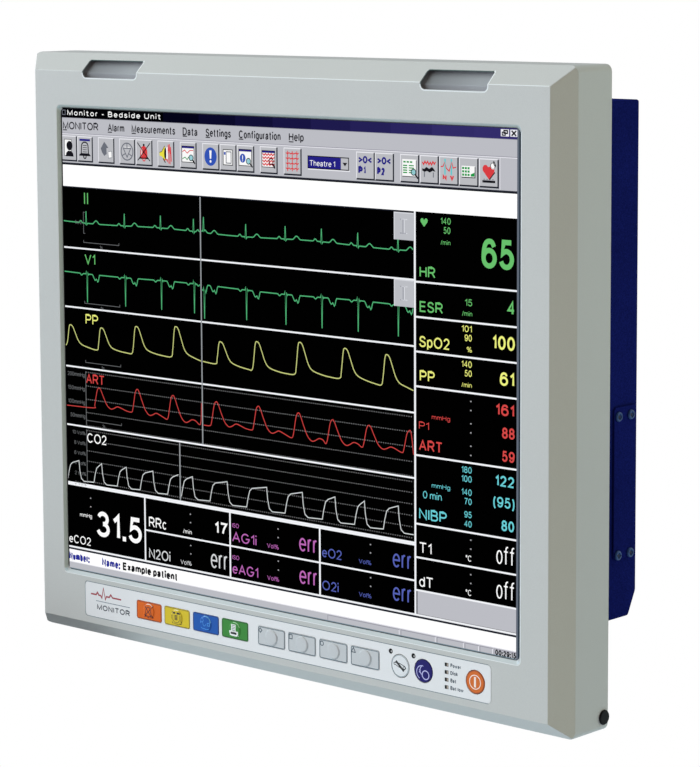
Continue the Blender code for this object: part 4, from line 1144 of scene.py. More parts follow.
PRESSURE_SHAPE = [(-5.2, 0.0), (-3.8, 0.14), (-1.6, 0.82), (0.0, 1.0), (1.6, 0.94), (4.6, 0.52),
                  (7.4, 0.18), (10.6, 0.02), (13.4, 0.06), (16.4, 0.16), (19.6, 0.12),
                  (24.0, 0.03)]
PRESSURES = (
    (BEFORE_SWEEP, ((30.0, 12.6), (64.0, 14.6), (94.9, 15.2), (122.6, 14.6))),
    (AFTER_SWEEP, ((131.4, 14.6), (165.9, 14.6), (197.9, 15.2), (224.4, 14.2), (252.2, 12.8),
                   (282.2, 12.9))),
)
for ends, beats in PRESSURES:
    trace_red.line(swing(*ends, lambda x: 184.7 + 0.8 * math.cos(x / 17.0), beats,
                         PRESSURE_SHAPE), 0.52)


def breathing(start, stop, breaths):
    """Square-shouldered breaths: (start of the rise, end of the plateau) each."""
    out = []
    for rise, fall in breaths:
        plateau = fall - rise
        for delay, share in ((0.0, 0.03), (1.2, 0.42), (2.6, 0.74), (4.6, 0.86), (plateau, 1.0),
                             (plateau + 0.7, 0.50), (plateau + 2.0, 0.12), (plateau + 4.4, 0.0)):
            x = rise + delay
            if start <= x <= stop:
                out.append((x, 232.1 - 0.009 * x - (12.6 + 0.009 * rise) * share))
    if out[-1][0] < stop - 1.0:
        out.append((stop, 232.1 - 0.009 * stop))
    return out


trace_pale.lines(
    0.54,
    breathing(0.6, 99.6, ((0.6, 11.0), (24.4, 31.6), (45.4, 53.6), (65.6, 77.0), (89.6, 99.0))),
    breathing(101.4, 285.6, ((101.4, 111.0), (125.6, 140.1), (156.0, 172.4), (187.0, 200.8),
                             (216.4, 226.3), (241.2, 248.8), (263.0, 274.2))))

# dotted grid and scales
GRID_LEFT, GRID_PITCH, DOT = 18.8, 1.72, 0.58
for y in (163.1, 171.7, 180.0, 188.3, 196.5, 199.6, 205.8, 212.3, 218.8, 225.2, 231.5):
    for k in range(int((285.6 - GRID_LEFT) / GRID_PITCH)):
        x = GRID_LEFT + k * GRID_PITCH
        dim_dots.rect(x, y - DOT / 2, x + DOT, y + DOT / 2)
dim.rects((18.2, 162.7, 18.7, 196.4), (18.2, 199.0, 18.7, 232.6))
LABEL_END = 17.4
for k, label in enumerate(("200mmHg", "150mmHg", "100mmHg", "50mmHg")):
    width = 15.4 if k < 3 else 13.4
    dim.text(label, LABEL_END - width, 166.4 + k * 8.6, 2.5, width, weight=-0.006)
for k, label in enumerate(("10 Vol%", "8 Vol%", "6 Vol%", "4 Vol%", "2 Vol%", "0 Vol%")):
    width = 10.4 if k else 11.8
    dim.text(label, LABEL_END - width, 202.8 + k * 6.4, 2.3, width, weight=-0.006)


def second_mark(y):
    dim.line([(18.6, y - 1.4), (18.6, y), (50.0, y), (50.0, y - 1.4)], 0.35)
    dim.text("1s", 33.0, y + 3.4, 2.3, width=2.4, weight=-0.006)


second_mark(82.6)
dim.line([(20.0, 64.0), (18.7, 64.0), (18.7, 77.0), (20.0, 77.0)], 0.35)
dim.text("1mV", 10.8, 71.6, 2.4, width=6.6, weight=-0.006)
for y in (120.2, 157.0, 193.2):
    second_mark(y)

green.rects((19.6, 52.0, 20.4, 58.8), (22.3, 52.0, 23.1, 58.8))
green.text("V1", 19.3, 96.0, 6.4, width=9.4)
yellow.text("PP", 19.2, 133.1, 6.2, width=11.2)
red.text("ART", 18.8, 170.0, 6.0, width=16.4)
bright.text("CO2", 18.9, 207.0, 6.0, width=17.4)

# grey tiles with a raised I, at the curves' right end
info_face = ink("info_face", (188, 190, 196), 3)
info_mark = ink("info_mark", (148, 150, 160), 4)
info_light = ink("info_light", (216, 218, 224), 4)
for top, foot in ((49.6, 64.9), (86.9, 102.0)):
    left, right = 271.6, 286.0
    info_face.rect(left, top, right, foot)
    info_light.rects((left, top, right, top + 0.6), (left, top + 0.6, left + 0.6, foot))
    for shift, art in ((0.0, info_mark), (0.8, info_light)):
        x = left + shift
        art.rects((x + 6.4, top + 4.0, x + 7.1, foot - 3.6),
                  (x + 4.6, top + 3.6, x + 9.0, top + 4.2),
                  (x + 4.6, foot - 4.0, x + 9.0, foot - 3.4))


# --- readings: ink, words, left, baseline, capital height, width, weight --------
def write(*rows):
    for art, *entry in rows:
        art.text(*entry)


write(
    (bright, "31.5", 26.2, 265.0, 16.0, 40.6, 0.014),
    (bright, "eCO2", 0.9, 272.2, 5.2, 19.8),
    (bright, "mmHg", 11.2, 254.6, 2.6, 10.8, -0.004),
    (bright, "RRc", 73.0, 253.1, 6.3, 15.4),
    (bright, "17", 129.4, 249.5, 7.2, 10.4, 0.02),
    (bright, "/min", 102.6, 253.0, 2.7, 7.2, -0.004),
    (pale, "N2Oi", 72.8, 272.4, 6.2, 18.4),
    (pale, "err", 125.8, 270.8, 11.6, 14.0, -0.014),
    (pale, "Vol%", 100.0, 272.2, 2.7, 9.4, -0.004),
)
for y, agent, agent_width, oxygen, oxygen_width in ((0.0, "AG1i", 19.8, "eO2", 15.2),
                                                   (19.2, "eAG1", 21.0, "O2i", 12.6)):
    write(
        (magenta, "ISO", 143.9, 244.0 + y, 2.6, 5.5, -0.004),
        (magenta, agent, 143.9, 252.5 + y, 6.0, agent_width),
        (magenta, "Vol%", 172.3, 252.3 + y, 2.7, 9.4, -0.004),
        (magenta, "err", 198.1, 250.7 + y, 10.6, 14.0, -0.010),
        (blue, oxygen, 216.1, 251.7 + y, 5.6, oxygen_width),
        (blue, "Vol%", 244.4, 251.4 + y, 2.6, 9.4, -0.004),
        (blue, "err", 270.0, 249.9 + y, 10.6, 13.8, -0.010),
    )
DASHES = (                           # x, then each dash's y
    (21.1, (241.9, 247.3)), (108.9, (240.7, 245.8, 259.8, 264.9)),
    (181.3, (240.1, 245.2, 259.2, 264.5)), (253.3, (239.5, 244.3, 258.6, 263.6)),
    (326.8, (150.2, 155.2, 162.5, 167.5, 174.9, 180.0, 227.0, 232.0, 246.3, 251.2)),
)
for x, heights in DASHES:
    for y in heights:
        dash.rect(x - 0.45, y - 0.35, x + 0.45, y + 0.35)

# right column
with origin(293.5, 54.4):
    green.plate([(0.0, 2.4), (-2.4, -0.3), (-2.6, -1.4), (-1.9, -2.3), (-0.9, -2.3), (0.0, -1.2),
                 (0.9, -2.3), (1.9, -2.3), (2.6, -1.4), (2.4, -0.3)])
write(
    (green, "140", 305.4, 54.6, 3.6, 7.1),
    (green, "50", 307.5, 59.7, 3.7, 4.8),
    (green, "/min", 305.4, 65.8, 2.6, 6.9, -0.006),
    (green, "65", 334.2, 76.6, 16.2, 22.6, 0.016, 0.10),     # with closer letters
    (green, "HR", 290.2, 84.7, 6.1, 11.3, 0.006),
    (green, "ESR", 290.2, 103.9, 6.0, 16.7, 0.006),
    (green, "15", 322.6, 98.1, 3.8, 5.1),
    (green, "/min", 320.6, 103.6, 2.7, 7.1, -0.006),
    (green, "4", 352.1, 100.7, 7.6, 5.2, 0.016),
    (yellow, "SpO2", 289.9, 123.4, 6.2, 21.8, 0.006),
    (yellow, "101", 320.2, 112.4, 3.6, 7.2),
    (yellow, "90", 322.4, 117.4, 3.7, 5.0),
    (yellow, "%", 323.9, 123.4, 3.1, 3.6),
    (yellow, "100", 341.9, 120.0, 7.6, 15.4, 0.016),
    (yellow, "PP", 290.2, 142.4, 6.0, 10.8, 0.006),
    (yellow, "140", 320.2, 131.8, 3.6, 7.2),
    (yellow, "50", 322.4, 136.8, 3.6, 5.0),
    (yellow, "/min", 320.2, 142.8, 2.7, 7.2, -0.006),
    (yellow, "61", 347.0, 139.4, 7.4, 9.9, 0.016),
    (red, "161", 344.2, 155.8, 6.3, 12.7, 0.016),
    (red, "mmHg", 298.9, 162.9, 2.6, 13.1, -0.004),
    (red, "88", 348.6, 168.1, 6.1, 8.7, 0.016),
    (red, "P1", 289.6, 169.3, 4.2, 7.2, -0.006),
    (red, "ART", 289.6, 181.3, 6.1, 16.9, 0.006),
    (red, "59", 348.6, 180.8, 6.0, 8.7, 0.016),
    (cyan, "122", 344.0, 194.6, 6.0, 13.1, 0.016),
    (cyan, "(95)", 342.6, 206.2, 5.8, 14.7, 0.010),
    (cyan, "80", 348.3, 218.9, 6.0, 8.8, 0.016),
    (cyan, "180", 320.2, 190.1, 3.6, 7.2),
    (cyan, "100", 320.2, 195.1, 3.6, 7.2),
    (cyan, "140", 320.2, 202.5, 3.6, 7.2),
    (cyan, "70", 322.2, 207.6, 3.6, 5.2),
    (cyan, "95", 322.2, 214.9, 3.6, 5.2),
    (cyan, "40", 322.2, 220.1, 3.6, 5.2),
    (cyan, "mmHg", 298.8, 201.2, 2.6, 13.2, -0.004),
    (cyan, "0 min", 292.4, 207.9, 4.2, 13.6, -0.004),
    (cyan, "NIBP", 289.6, 220.0, 6.1, 20.0, 0.006),
)
for y, label, width in ((0.0, "T1", 9.0), (19.2, "dT", 10.2)):
    write(
        (bright, label, 289.6, 239.1 + y, 6.1, width),
        (bright, "off", 344.8, 237.5 + y, 10.4, 12.7, -0.016),
        (bright, "°C", 323.2, 239.1 + y, 3.4, 4.2, -0.004),
    )

# --- patient line and status bar -------------------------------------------------
blue_word = ink("blue_word", (40, 48, 150), 2)
blue_word.text("Number:", 0.6, 283.2, 4.9, width=18.6, weight=0.040, gap=0.09)
blue_word.text("Name:", 30.6, 283.2, 4.9, width=16.2, weight=0.040, gap=0.09)
ink_black.text("Example patient", 49.4, 283.2, 4.9, width=48.0, weight=0.040, gap=0.07)
for left, right in ((220.0, 274.8), (275.8, 301.4), (302.4, 321.7), (322.5, 332.5),
                    (333.2, 342.4), (343.2, 359.0)):
    mid_grey.rects((left, 285.0, right, 285.4), (left, 285.4, left + 0.4, HIGH))
    edge_light.rect(right - 0.4, 285.4, right, HIGH)
ink_black.text("00:29:15", 344.2, 288.35, 3.1, width=14.6, weight=0.034, gap=0.08)

for art in screen_art:
    art.build()

# =============================================================================
# keypad: caps with formed domes
# =============================================================================
KEY_Z = -156.0                      # middle of the rectangular keys
FACE_D = -0.30                      # cap face, proud of the film
CAP_BACK = 0.9
POST_R, POST_END = 3.0, 4.7         # the plunger behind a cap
DOME_OUT, DOME_IN, DOME_HIGH = 4.95, 4.20, 0.58
DOME_RINGS = (0.7, 1.6, 2.5, 3.3, 3.9, 4.2, 4.32, 4.44, 4.56, 4.68, 4.8, 4.95, 5.01)
ROUND_R = 6.36
ROUND_RINGS = (1.2, 2.4, 3.6, 4.6, 5.3, 5.9)
KEY_MIDDLES = {name: middle(name) for name in NODES if name.startswith(("key_", "softkey_"))}

SOFT_FACE, SOFT_RIM = (0.588, 0.615, 0.624), (84, 106, 116)
CAPS = (                            # node, face colour, slot, rim's print colour
    ("key_alarm_silence", (0.745, 0.146, 0.018), "key_orange", (120, 42, 16)),
    ("key_event", (0.72, 0.555, 0.034), "key_yellow", (118, 104, 22)),
    ("key_cuff_pressure", (0.019, 0.108, 0.435), "key_blue", (18, 44, 112)),
    ("key_print", (0.055, 0.268, 0.051), "key_green", (20, 74, 30)),
    ("softkey_diamond", SOFT_FACE, "key_grey", SOFT_RIM),
    ("softkey_square", SOFT_FACE, "key_grey", SOFT_RIM),
    ("softkey_circle", SOFT_FACE, "key_grey", SOFT_RIM),
    ("softkey_triangle", SOFT_FACE, "key_grey", SOFT_RIM),
)
ROUND_CAPS = (                      # node, face colour, slot
    ("key_mute", (0.790, 0.820, 0.830), "key_pale"),
    ("key_standby", (0.018, 0.014, 0.140), "key_navy"),
    ("key_power", (0.690, 0.165, 0.032), "key_power_orange"),
)
ROUND_KEYS = [name for name, *_ in ROUND_CAPS]


def dome_height(radius):
    """Height of a rectangular key's dome at a distance from its middle."""
    if radius >= DOME_OUT:
        return 0.0
    if radius <= DOME_IN:
        return DOME_HIGH + 0.10 * (1 - (radius / DOME_IN) ** 2)
    share = (DOME_OUT - radius) / (DOME_OUT - DOME_IN)
    return DOME_HIGH * share * share * (3 - 2 * share)


def crown_height(radius):
    """The same for a round key's slight crown."""
    return 0.10 * max(0.0, 1 - (radius / 6.0) ** 2)


def build_cap(node, rgb, z, outline, rings, fillet, height):
    """A cap: rings out to its outline, a rolled edge, sides, a flat back and its plunger."""
    x = KEY_MIDDLES[node][0]
    mat = surface(node + "_film", rgb, rough=0.34, grain=2800, grain_amp=0.03, depth=0.000006,
                  rough_amp=0.05, spec=0.12)
    angles = [math.atan2(b, a) for a, b in outline]

    def circle(radius, depth):
        return [(radius * math.cos(t), radius * math.sin(t), depth) for t in angles]

    loops = [circle(radius, FACE_D - height(radius)) for radius in rings]
    for share, extra in ((0.0, 0.05), (0.0, 0.0), (0.35, 0.0), (0.7, 0.0), (1.0, 0.0)):
        turn = share * math.pi / 2
        inset = fillet * (1 - math.sin(turn)) + extra
        depth = FACE_D + fillet * (1 - math.cos(turn))
        loops.append([(a * (1 - inset / math.hypot(a, b)), b * (1 - inset / math.hypot(a, b)),
                       depth) for a, b in outline])
    loops.append([(a, b, CAP_BACK) for a, b in outline])
    loops += [circle(POST_R, CAP_BACK), circle(POST_R, POST_END)]
    verts = [spot(x, FACE_D - height(0.0), z)]
    verts += [spot(x + a, depth, z + b) for points in loops for a, b, depth in points]
    cap = solid(node + "_cap", verts, capped_faces(len(outline), len(loops)), mat, node,
                smooth=40)
    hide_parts(node)


for name, rgb, slot, _ in CAPS:
    low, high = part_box(name)
    outline = rounded_rect((high.x - low.x) / MM, (high.z - low.z) / MM, 1.1)
    build_cap(name, rgb, KEY_Z, outline, DOME_RINGS, fillet=0.22, height=dome_height)
for name, rgb, slot in ROUND_CAPS:
    build_cap(name, rgb, KEY_MIDDLES[name][2], ellipse(0, 0, ROUND_R, ROUND_R, 72),
              ROUND_RINGS, fillet=0.2, height=crown_height)


# --- print, painted highlights and painted shade on the caps: strokes of points, width and whether closed ---
def key_print(name, key, rgb, *strokes, lift=0.0, step=0.45):
    """Print, painted highlights and painted shade that follow a cap's dome. All round keys take
    the power key's level.
    """
    key_x = KEY_MIDDLES[key][0]
    if key in ROUND_KEYS:
        key_z, height = KEY_MIDDLES["key_power"][2], crown_height
    else:
        key_z, height = KEY_Z, dome_height

    def on_cap(x, y, out):
        return spot(key_x + x, FACE_D - height(math.hypot(x, y)) - out, key_z + y)

    art = Art(name, printed(name, rgb), on_cap, 0.035 + lift, 0.004, body=key, step=step)
    for stroke in strokes:
        art.line(*stroke)
    art.build()


def bars(left, right, width, *heights):
    return [([(left, y), (right, y)], width) for y in heights]


for name, _, _, rgb in CAPS:
    width = 0.28 if name.startswith("key_") else 0.40
    key_print(name + "_rim", name, rgb, (rounded_rect(20.75, 10.35, 0.85), width, True),
              step=None)

# crossed bell
key_print("symbol_bell", "key_alarm_silence", (84, 18, 12),
          ([(-3.6, 3.7), (3.6, -4.0)], 0.46),
          ([(3.9, 3.7), (-3.9, -4.0)], 0.46),
          ([(-3.6, -2.7), (-2.6, -1.9), (-2.2, -0.3), (-1.9, 1.3), (-1.0, 2.5), (0.0, 2.8),
            (1.0, 2.5), (1.8, 1.3), (2.1, -0.3), (2.6, -1.9), (3.6, -2.7)], 0.46),
          ([(-3.7, -2.9), (3.7, -2.9)], 0.42),
          ([(-3.8, -3.2), (-1.6, -2.9)], 0.8),
          ([(1.6, -2.9), (3.8, -3.2)], 0.8),
          ([(-0.8, -3.3), (0.0, -3.9), (0.8, -3.3)], 0.4))

# event ticket
key_print("symbol_event_bars", "key_event", (14, 13, 9),
          ([(-4.1, 2.7), (-0.8, 2.7)], 1.15),
          ([(0.4, 2.7), (3.6, 2.7)], 1.15))
key_print("symbol_event_ticket", "key_event", (96, 78, 20),
          ([(-4.0, 1.4), (-4.0, -3.9), (3.9, -3.9), (3.9, 1.4)], 0.34),
          ([(-2.9, 1.5), (-2.9, -1.6), (-1.4, -3.0), (1.2, -3.0), (2.7, -1.6), (2.7, 1.5)], 0.34),
          *bars(-1.4, 1.1, 0.6, 1.2, 0.4, -0.4, -1.2))

# arm cuff
key_print("symbol_cuff", "key_cuff_pressure", (70, 150, 226),
          hoop(-2.6, 2.0, 1.25, 0.34, 20),
          ([(-3.4, 1.1), (-4.2, 0.4), (-3.2, 0.2)], 0.34),
          hoop(0.6, 1.4, 3.2, 0.34, 26, (5.0, 150.0)),
          ([(3.8, 1.6), (3.9, -0.8)], 0.34),
          ([(-1.9, 1.2), (-1.6, -0.6), (-0.8, -1.5), (0.2, -1.2), (0.6, -0.2)], 0.34),
          ([(1.9, 0.6), (3.7, 0.6), (3.7, -1.0), (1.9, -1.0)], 0.40, True),
          ([(-4.0, -2.6), (-1.6, -3.1), (1.8, -3.3), (3.2, -2.8)], 0.40))

# printer
key_print("symbol_printer", "key_print", (246, 250, 246),
          *bars(-2.4, 1.3, 0.52, *[3.1 - 0.5 * k for k in range(9)]),
          *bars(-4.0, 3.2, 0.52, *[-0.9 - 0.5 * k for k in range(6)]))
key_print("symbol_printer_slot", "key_print", (5, 8, 6),
          ([(-2.8, -2.0), (2.0, -2.0)], 1.25), lift=0.05)
key_print("symbol_printer_rows", "key_print", (120, 140, 126),
          *bars(-1.8, 0.8, 0.45, *[2.7 - 0.95 * k for k in range(4)]), lift=0.05)

# painted highlight arcs on the coloured keys' domes: node, colour, arc in degrees
for name, rgb, arc in (("key_alarm_silence", (252, 228, 212), (42, 112)),
                       ("key_event", (250, 244, 196), (70, 118)),
                       ("key_cuff_pressure", (122, 196, 240), (12, 104)),
                       ("key_print", (168, 222, 168), (24, 104))):
    key_print("dome_painted_highlight_" + name[4:], name, rgb, hoop(0, 0, 4.55, 0.34, 16, arc))

# light and shade round the soft keys' domes
SOFT_MARKS = {                       # each key's mark
    "diamond": ([(-8.9, 4.5), (-7.5, 3.2), (-8.9, 1.9), (-10.2, 3.2)], 0.50, True),
    "square": ([(-10.0, 4.4), (-7.6, 4.4), (-7.6, 2.0), (-10.0, 2.0)], 0.50, True),
    "circle": hoop(-8.8, 3.2, 1.25, 0.50, 24),
    "triangle": ([(-8.8, 4.6), (-7.2, 2.0), (-10.4, 2.0)], 0.50, True),
}
for mark in SOFT_MARKS:
    key_print("dome_painted_highlight_" + mark, "softkey_" + mark, (208, 215, 217),
              hoop(0, 0, 4.62, 0.36, 40, (40, 290)))
    key_print("dome_shade_" + mark, "softkey_" + mark, (164, 174, 178),
              hoop(0, 0, 4.98, 0.30, 24, (-100, 20)))
for mark, stroke in SOFT_MARKS.items():
    key_print("mark_" + mark, "softkey_" + mark, (50, 72, 86), stroke)

# mute: a horn crossed by a bar
key_print("symbol_mute_ring", "key_mute", (138, 158, 166), hoop(0, 0, 6.02, 0.30, 72))
key_print("symbol_horn", "key_mute", (34, 40, 44),
          ([(-4.7, 1.0), (-4.2, 1.6), (-3.2, 1.5), (-0.3, 1.5), (3.6, 0.2), (4.2, -0.6),
            (3.4, -1.6), (2.2, -1.4), (-1.2, -0.6), (-3.4, 0.4), (-4.4, 0.4)], 0.42, True),
          hoop(3.0, -0.7, 0.75, 0.36, 16))
key_print("symbol_mute_bar", "key_mute", (8, 9, 10), ([(-3.1, 2.5), (2.8, -2.5)], 1.25),
          lift=0.05)

# standby: moon and ring
key_print("symbol_standby", "key_standby", (190, 190, 240),
          hoop(1.7, -2.1, 2.45, 0.60, 36),
          (bow(-0.9, -1.0, 3.9, 3.9, 75, 243, 16), 0.46),
          (bow(0.9, 0.2, 3.2, 3.2, 228, 112.5, 11), 0.46),
          ([(-3.1, 0.3), (-2.2, 0.3), (-3.0, -1.0), (-2.0, -1.0)], 0.3))

# power: bar in a ring
key_print("symbol_power", "key_power", (252, 236, 226),
          hoop(0, 0, 3.88, 0.52, 56), ([(0, 2.95), (0, -2.95)], 1.35))
key_print("symbol_power_rim", "key_power", (168, 78, 34), hoop(0, 0, 6.02, 0.26, 72))

# --- film print: rule, words, lamp labels; painted shade line at the edge ---------
FILM_D = (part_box("keypad_overlay")[0].y - FRONT_Y) / MM
SKIRT_D = min(FILM_D, -0.03)
LAMPS = (("led_mains", "Power", 7.4), ("led_disk", "Disk", 5.2), ("led_battery", "Bat", 4.1),
         ("led_battery_low", "Bat low", 9.3))    # node, label, label's width


def on_film(x, z, out):
    return spot(x, FILM_D - out, z)


def on_skirt(x, z, out):
    return spot(x, SKIRT_D - out, z)


def film_art(name, rgb):
    return Art(name, printed(name, rgb), on_film, 0.035, 0.002)


def skirt(name):
    """Film that laps over a gap's far edge."""
    return Art(name, film, on_skirt, 0.012, -0.03)


art = film_art("film_pulse_mark", (160, 24, 46))
art.line([(-158.2, -152.6), (-153.5, -152.6), (-152.2, -151.0), (-151.0, -152.6),
          (-149.4, -152.6), (-148.3, -154.0), (-146.8, -147.6), (-145.2, -154.6),
          (-144.2, -152.6), (-141.6, -152.6), (-140.2, -150.9), (-138.6, -152.6),
          (-131.0, -152.6)], 0.95)
art.build()
art = film_art("film_rule", (84, 106, 122))
art.line([(-153.6, -156.4), (-123.2, -156.4)], 0.38)
art.build()
art = film_art("film_words", (38, 48, 60))
art.text("MONITOR", -152.8, -161.9, 3.5, width=29.4, weight=0.020, gap=0.16)
art.build()
art = film_art("film_lamp_labels", (40, 66, 82))
for name, word, width in LAMPS:
    art.text(word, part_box(name)[1].x / MM + 1.35, middle(name)[2] - 1.05, 2.15, width,
             weight=0.026)
art.build()

pad_low, pad_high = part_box("keypad_overlay")
PAD_WIDE, PAD_HIGH = (pad_high.x - pad_low.x) / MM, (pad_high.z - pad_low.z) / MM
pad_x, _, pad_z = middle("keypad_overlay")
art = skirt("film_skirt")
with origin(pad_x, pad_z):
    art.line(rounded_rect(PAD_WIDE + 0.36, PAD_HIGH + 0.36, 2.2), 0.40, closed=True)
art.build()
# a painted shade line in the gap at the film's edge, from the upper edge's right end, round the
# left, to the lower edge's right end
art = Art("film_edge_shade_line", printed("film_edge_shade_line", (90, 113, 121)), on_skirt, 0.016, -0.02)
EDGE_START, EDGE_STOP = CORNER_STEPS, 3 * (CORNER_STEPS + 1 + SIDE_STEPS)
with origin(pad_x, pad_z):
    outline = rounded_rect(PAD_WIDE + 1.1, PAD_HIGH + 1.1, 1.9)
    art.line(outline[EDGE_START:EDGE_STOP + 1], 0.34)
art.build()

# --- lamps --------------------------------------------------------------------------
lens_black = surface("lamp_lens_black", (0.0035, 0.0035, 0.004), rough=0.5, grain=2500,
                     grain_amp=0.1, spec=0.10)
lens_warm = surface("lamp_window_warm", (0.40, 0.34, 0.28), rough=0.4, grain=2500,
                    grain_amp=0.05)
lens_glint = surface("lamp_lens_glint", (0.62, 0.63, 0.62), rough=0.4, grain=2500,
                     grain_amp=0.05)


def lens_solid(name, outline, x, z, mat, face, back, crown):
    """A crowned lens over an outline, from its face's depth to its back's."""
    rows = [(share, face - crown * drop) for share, drop in ((0.45, 0.78), (0.8, 0.35),
                                                            (0.95, 0.08))]
    rows += [(1, face + 0.08), (1, back)]
    verts = [spot(x, face - crown, z)]
    verts += [spot(x + a * share, depth, z + b * share) for share, depth in rows
              for a, b in outline]
    return solid(name, verts, capped_faces(len(outline), len(rows)), mat, smooth=35)


for name in ("led_silence", "led_standby"):
    x, _, z = middle(name)
    lens = lens_solid(name + "_lens", ellipse(0, 0, 1.45, 1.45, 32), x, z, lens_black,
                      face=FILM_D - 0.05, back=3.0, crown=0.25)
    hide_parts(name)
    art = skirt(name + "_skirt")
    with origin(x, z):
        art.ring(0, 0, 1.70, 0.42, 32)
    art.build()
    # a pale painted glint at the right of each round lamp's black lens
    lens_solid(name + "_right_spot", ellipse(0, 0, 0.34, 0.60, 20), x + 0.72, z, lens_glint,
               face=FILM_D - 0.30, back=FILM_D - 0.02, crown=0.06)
for name, _, _ in LAMPS:
    x, _, z = middle(name)
    lens = lens_solid(name + "_lens", rounded_rect(2.66, 2.10, 0.2, 3, 2), x, z, lens_black,
                      face=FILM_D - 0.04, back=3.0, crown=0.06)
    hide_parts(name)
    art = skirt(name + "_skirt")
    with origin(x, z):
        art.rects((-1.92, -1.65, 1.92, -1.06), (-1.92, 1.06, 1.92, 1.65),
                  (-1.92, -1.06, -1.34, 1.06), (1.34, -1.06, 1.92, 1.06))
    art.build()
    lens_solid(name + "_right_spot", rounded_rect(1.02, 1.80, 0.12, 3, 2), x + 0.70, z, lens_warm,
               face=FILM_D - 0.13, back=FILM_D - 0.02, crown=0.03)

# =============================================================================
# side screws: painted heads with a cross recess
# =============================================================================
HEAD_PROFILE = (                     # radius, height; the first is the middle
    (0.0, 0.20), (1.25, 0.20), (1.45, 0.34), (1.62, 1.02), (1.9, 1.16), (2.3, 1.05),
    (2.62, 0.72), (2.72, 0.2), (2.72, 0.0),
)
HEAD_COUNT = 40
HEAD_BASE = 1.2                      # from the CAD screw's outer face in to the head's foot
CROSS_TURN = 0.35                    # radians
CROSS_LONG, CROSS_WIDE = 1.15, 0.28  # half sizes of one bar
BOX_FACES = ((0, 1, 2, 3), (7, 6, 5, 4), (0, 4, 5, 1), (1, 5, 6, 2), (2, 6, 7, 3), (3, 7, 4, 0))


def side_screw(node):
    low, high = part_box(node)
    side = 1 if low.x > 0 else -1
    y, z = (low.y + high.y) / 2, (low.z + high.z) / 2
    base = (high.x if side > 0 else low.x) - side * HEAD_BASE * MM

    def place(height, across, up):
        return Vector((base + side * height * MM, y + across * MM, z + up * MM))

    verts = [place(HEAD_PROFILE[0][1], 0.0, 0.0)]
    for radius, height in HEAD_PROFILE[1:]:
        for k in range(HEAD_COUNT):
            turn = 2 * math.pi * k / HEAD_COUNT
            # the recess's wall is drawn out into four lobes
            reach = radius * (1 + 0.10 * math.cos(4 * turn)) if 1.2 < radius < 1.7 else radius
            verts.append(place(height, reach * math.cos(turn), reach * math.sin(turn)))
    head = solid(node + "_head", verts, capped_faces(HEAD_COUNT, len(HEAD_PROFILE) - 1),
                 screw_blue, smooth=40)
    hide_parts(node)

    # the recess's cross, dark with painted shade; one bar stands a little higher so that the faces
    # don't coincide
    verts, faces = [], []
    for turn, lift in ((0.0, 0.0), (math.pi / 2, 0.002)):
        faces += [tuple(len(verts) + i for i in face) for face in BOX_FACES]
        cos, sin = math.cos(turn + CROSS_TURN), math.sin(turn + CROSS_TURN)
        for height in (0.22, 0.42):
            for way_a, way_b in ((-1, -1), (1, -1), (1, 1), (-1, 1)):
                a, b = way_a * CROSS_LONG, way_b * CROSS_WIDE
                verts.append(place(height + lift, a * cos - b * sin, a * sin + b * cos))
    solid(node + "_recess", verts, faces, screw_recess_shade)


for name in sorted(NODES):
    if name.startswith("side_screw_"):
        side_screw(name)

# =============================================================================
# back and underside detail
# =============================================================================
BACK_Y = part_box("rear_housing")[1].y
PLATE_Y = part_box("back_mount_plate")[1].y


def turned(name, place, profile, mat, axis="Y", count=32):
    """A turned piece from (radius, height) in mm, with height along +axis from its place."""
    verts, rows = [], []
    for radius, height in profile:
        points = ellipse(0, 0, radius, radius, count) if radius else [(0.0, 0.0)]
        rows.append(range(len(verts), len(verts) + len(points)))
        for a, b in points:
            verts.append(place + Vector((a, height, b) if axis == "Y" else (a, b, height)) * MM)
    faces = []
    for row, following in zip(rows, rows[1:]):
        for k in range(count):
            corners = (row[k % len(row)], row[(k + 1) % len(row)],
                       following[(k + 1) % len(following)], following[k % len(following)])
            faces.append(tuple(dict.fromkeys(corners)))      # a triangle next to the axis
    return solid(name, verts, faces, mat, smooth=38)


def pan_screw(name, place, size=3.0):
    turned(name, place,
           [(0.0, 0.75), (size * 0.32, 0.75), (size * 0.40, 1.35), (size * 0.62, 1.55),
            (size * 0.86, 1.25), (size, 0.55), (size, 0.0), (0.0, 0.0)], zinc, count=28)


HOUSING_HOLES = [(x, z) for x in (-192.0, -64.0, 64.0, 192.0) for z in (152.0, -102.0)]
HOUSING_HOLES += [(-192.0, 25.0), (192.0, 25.0)]
for i, (x, z) in enumerate(HOUSING_HOLES):
    pan_screw(f"housing_screw_{i + 1:02d}", Vector((x * MM, BACK_Y + 0.02 * MM, z * MM)))
for i, (x, z) in enumerate(((-58.0, 0.0), (58.0, 0.0), (0.0, -58.0), (0.0, 58.0))):
    turned(f"plate_rivet_{i + 1}", Vector((x * MM, PLATE_Y - 0.30 * MM, z * MM)),
           [(0.0, 0.28), (1.4, 0.26), (2.1, 0.20), (2.5, 0.06), (2.5, 0.0), (0.0, 0.0)], zinc,
           count=24)
for i, (x, z) in enumerate(((-50.0, 50.0), (50.0, 50.0), (-50.0, -50.0), (50.0, -50.0))):
    turned(f"plate_thread_{i + 1}", Vector((x * MM, PLATE_Y - 0.5 * MM, z * MM)),
           [(1.72, -2.6), (1.72, 0.0), (1.95, 0.28), (2.05, 0.28), (2.05, -2.6), (1.72, -2.6)],
           zinc, count=28)

# finger guard over the fan: rings on a cross of wire
WIRE_R, WIRE_SIDES, RING_COUNT = 0.62, 8, 56
BAR_ENDS = ((-35.5, 0.35), (-34.6, WIRE_R), (34.6, WIRE_R), (35.5, 0.35))  # place, radius
FAN_SCREW_R = 37.2
fan_x, _, fan_z = middle("fan_frame")
guard_place = Vector((fan_x * MM, BACK_Y + 1.25 * MM, fan_z * MM))


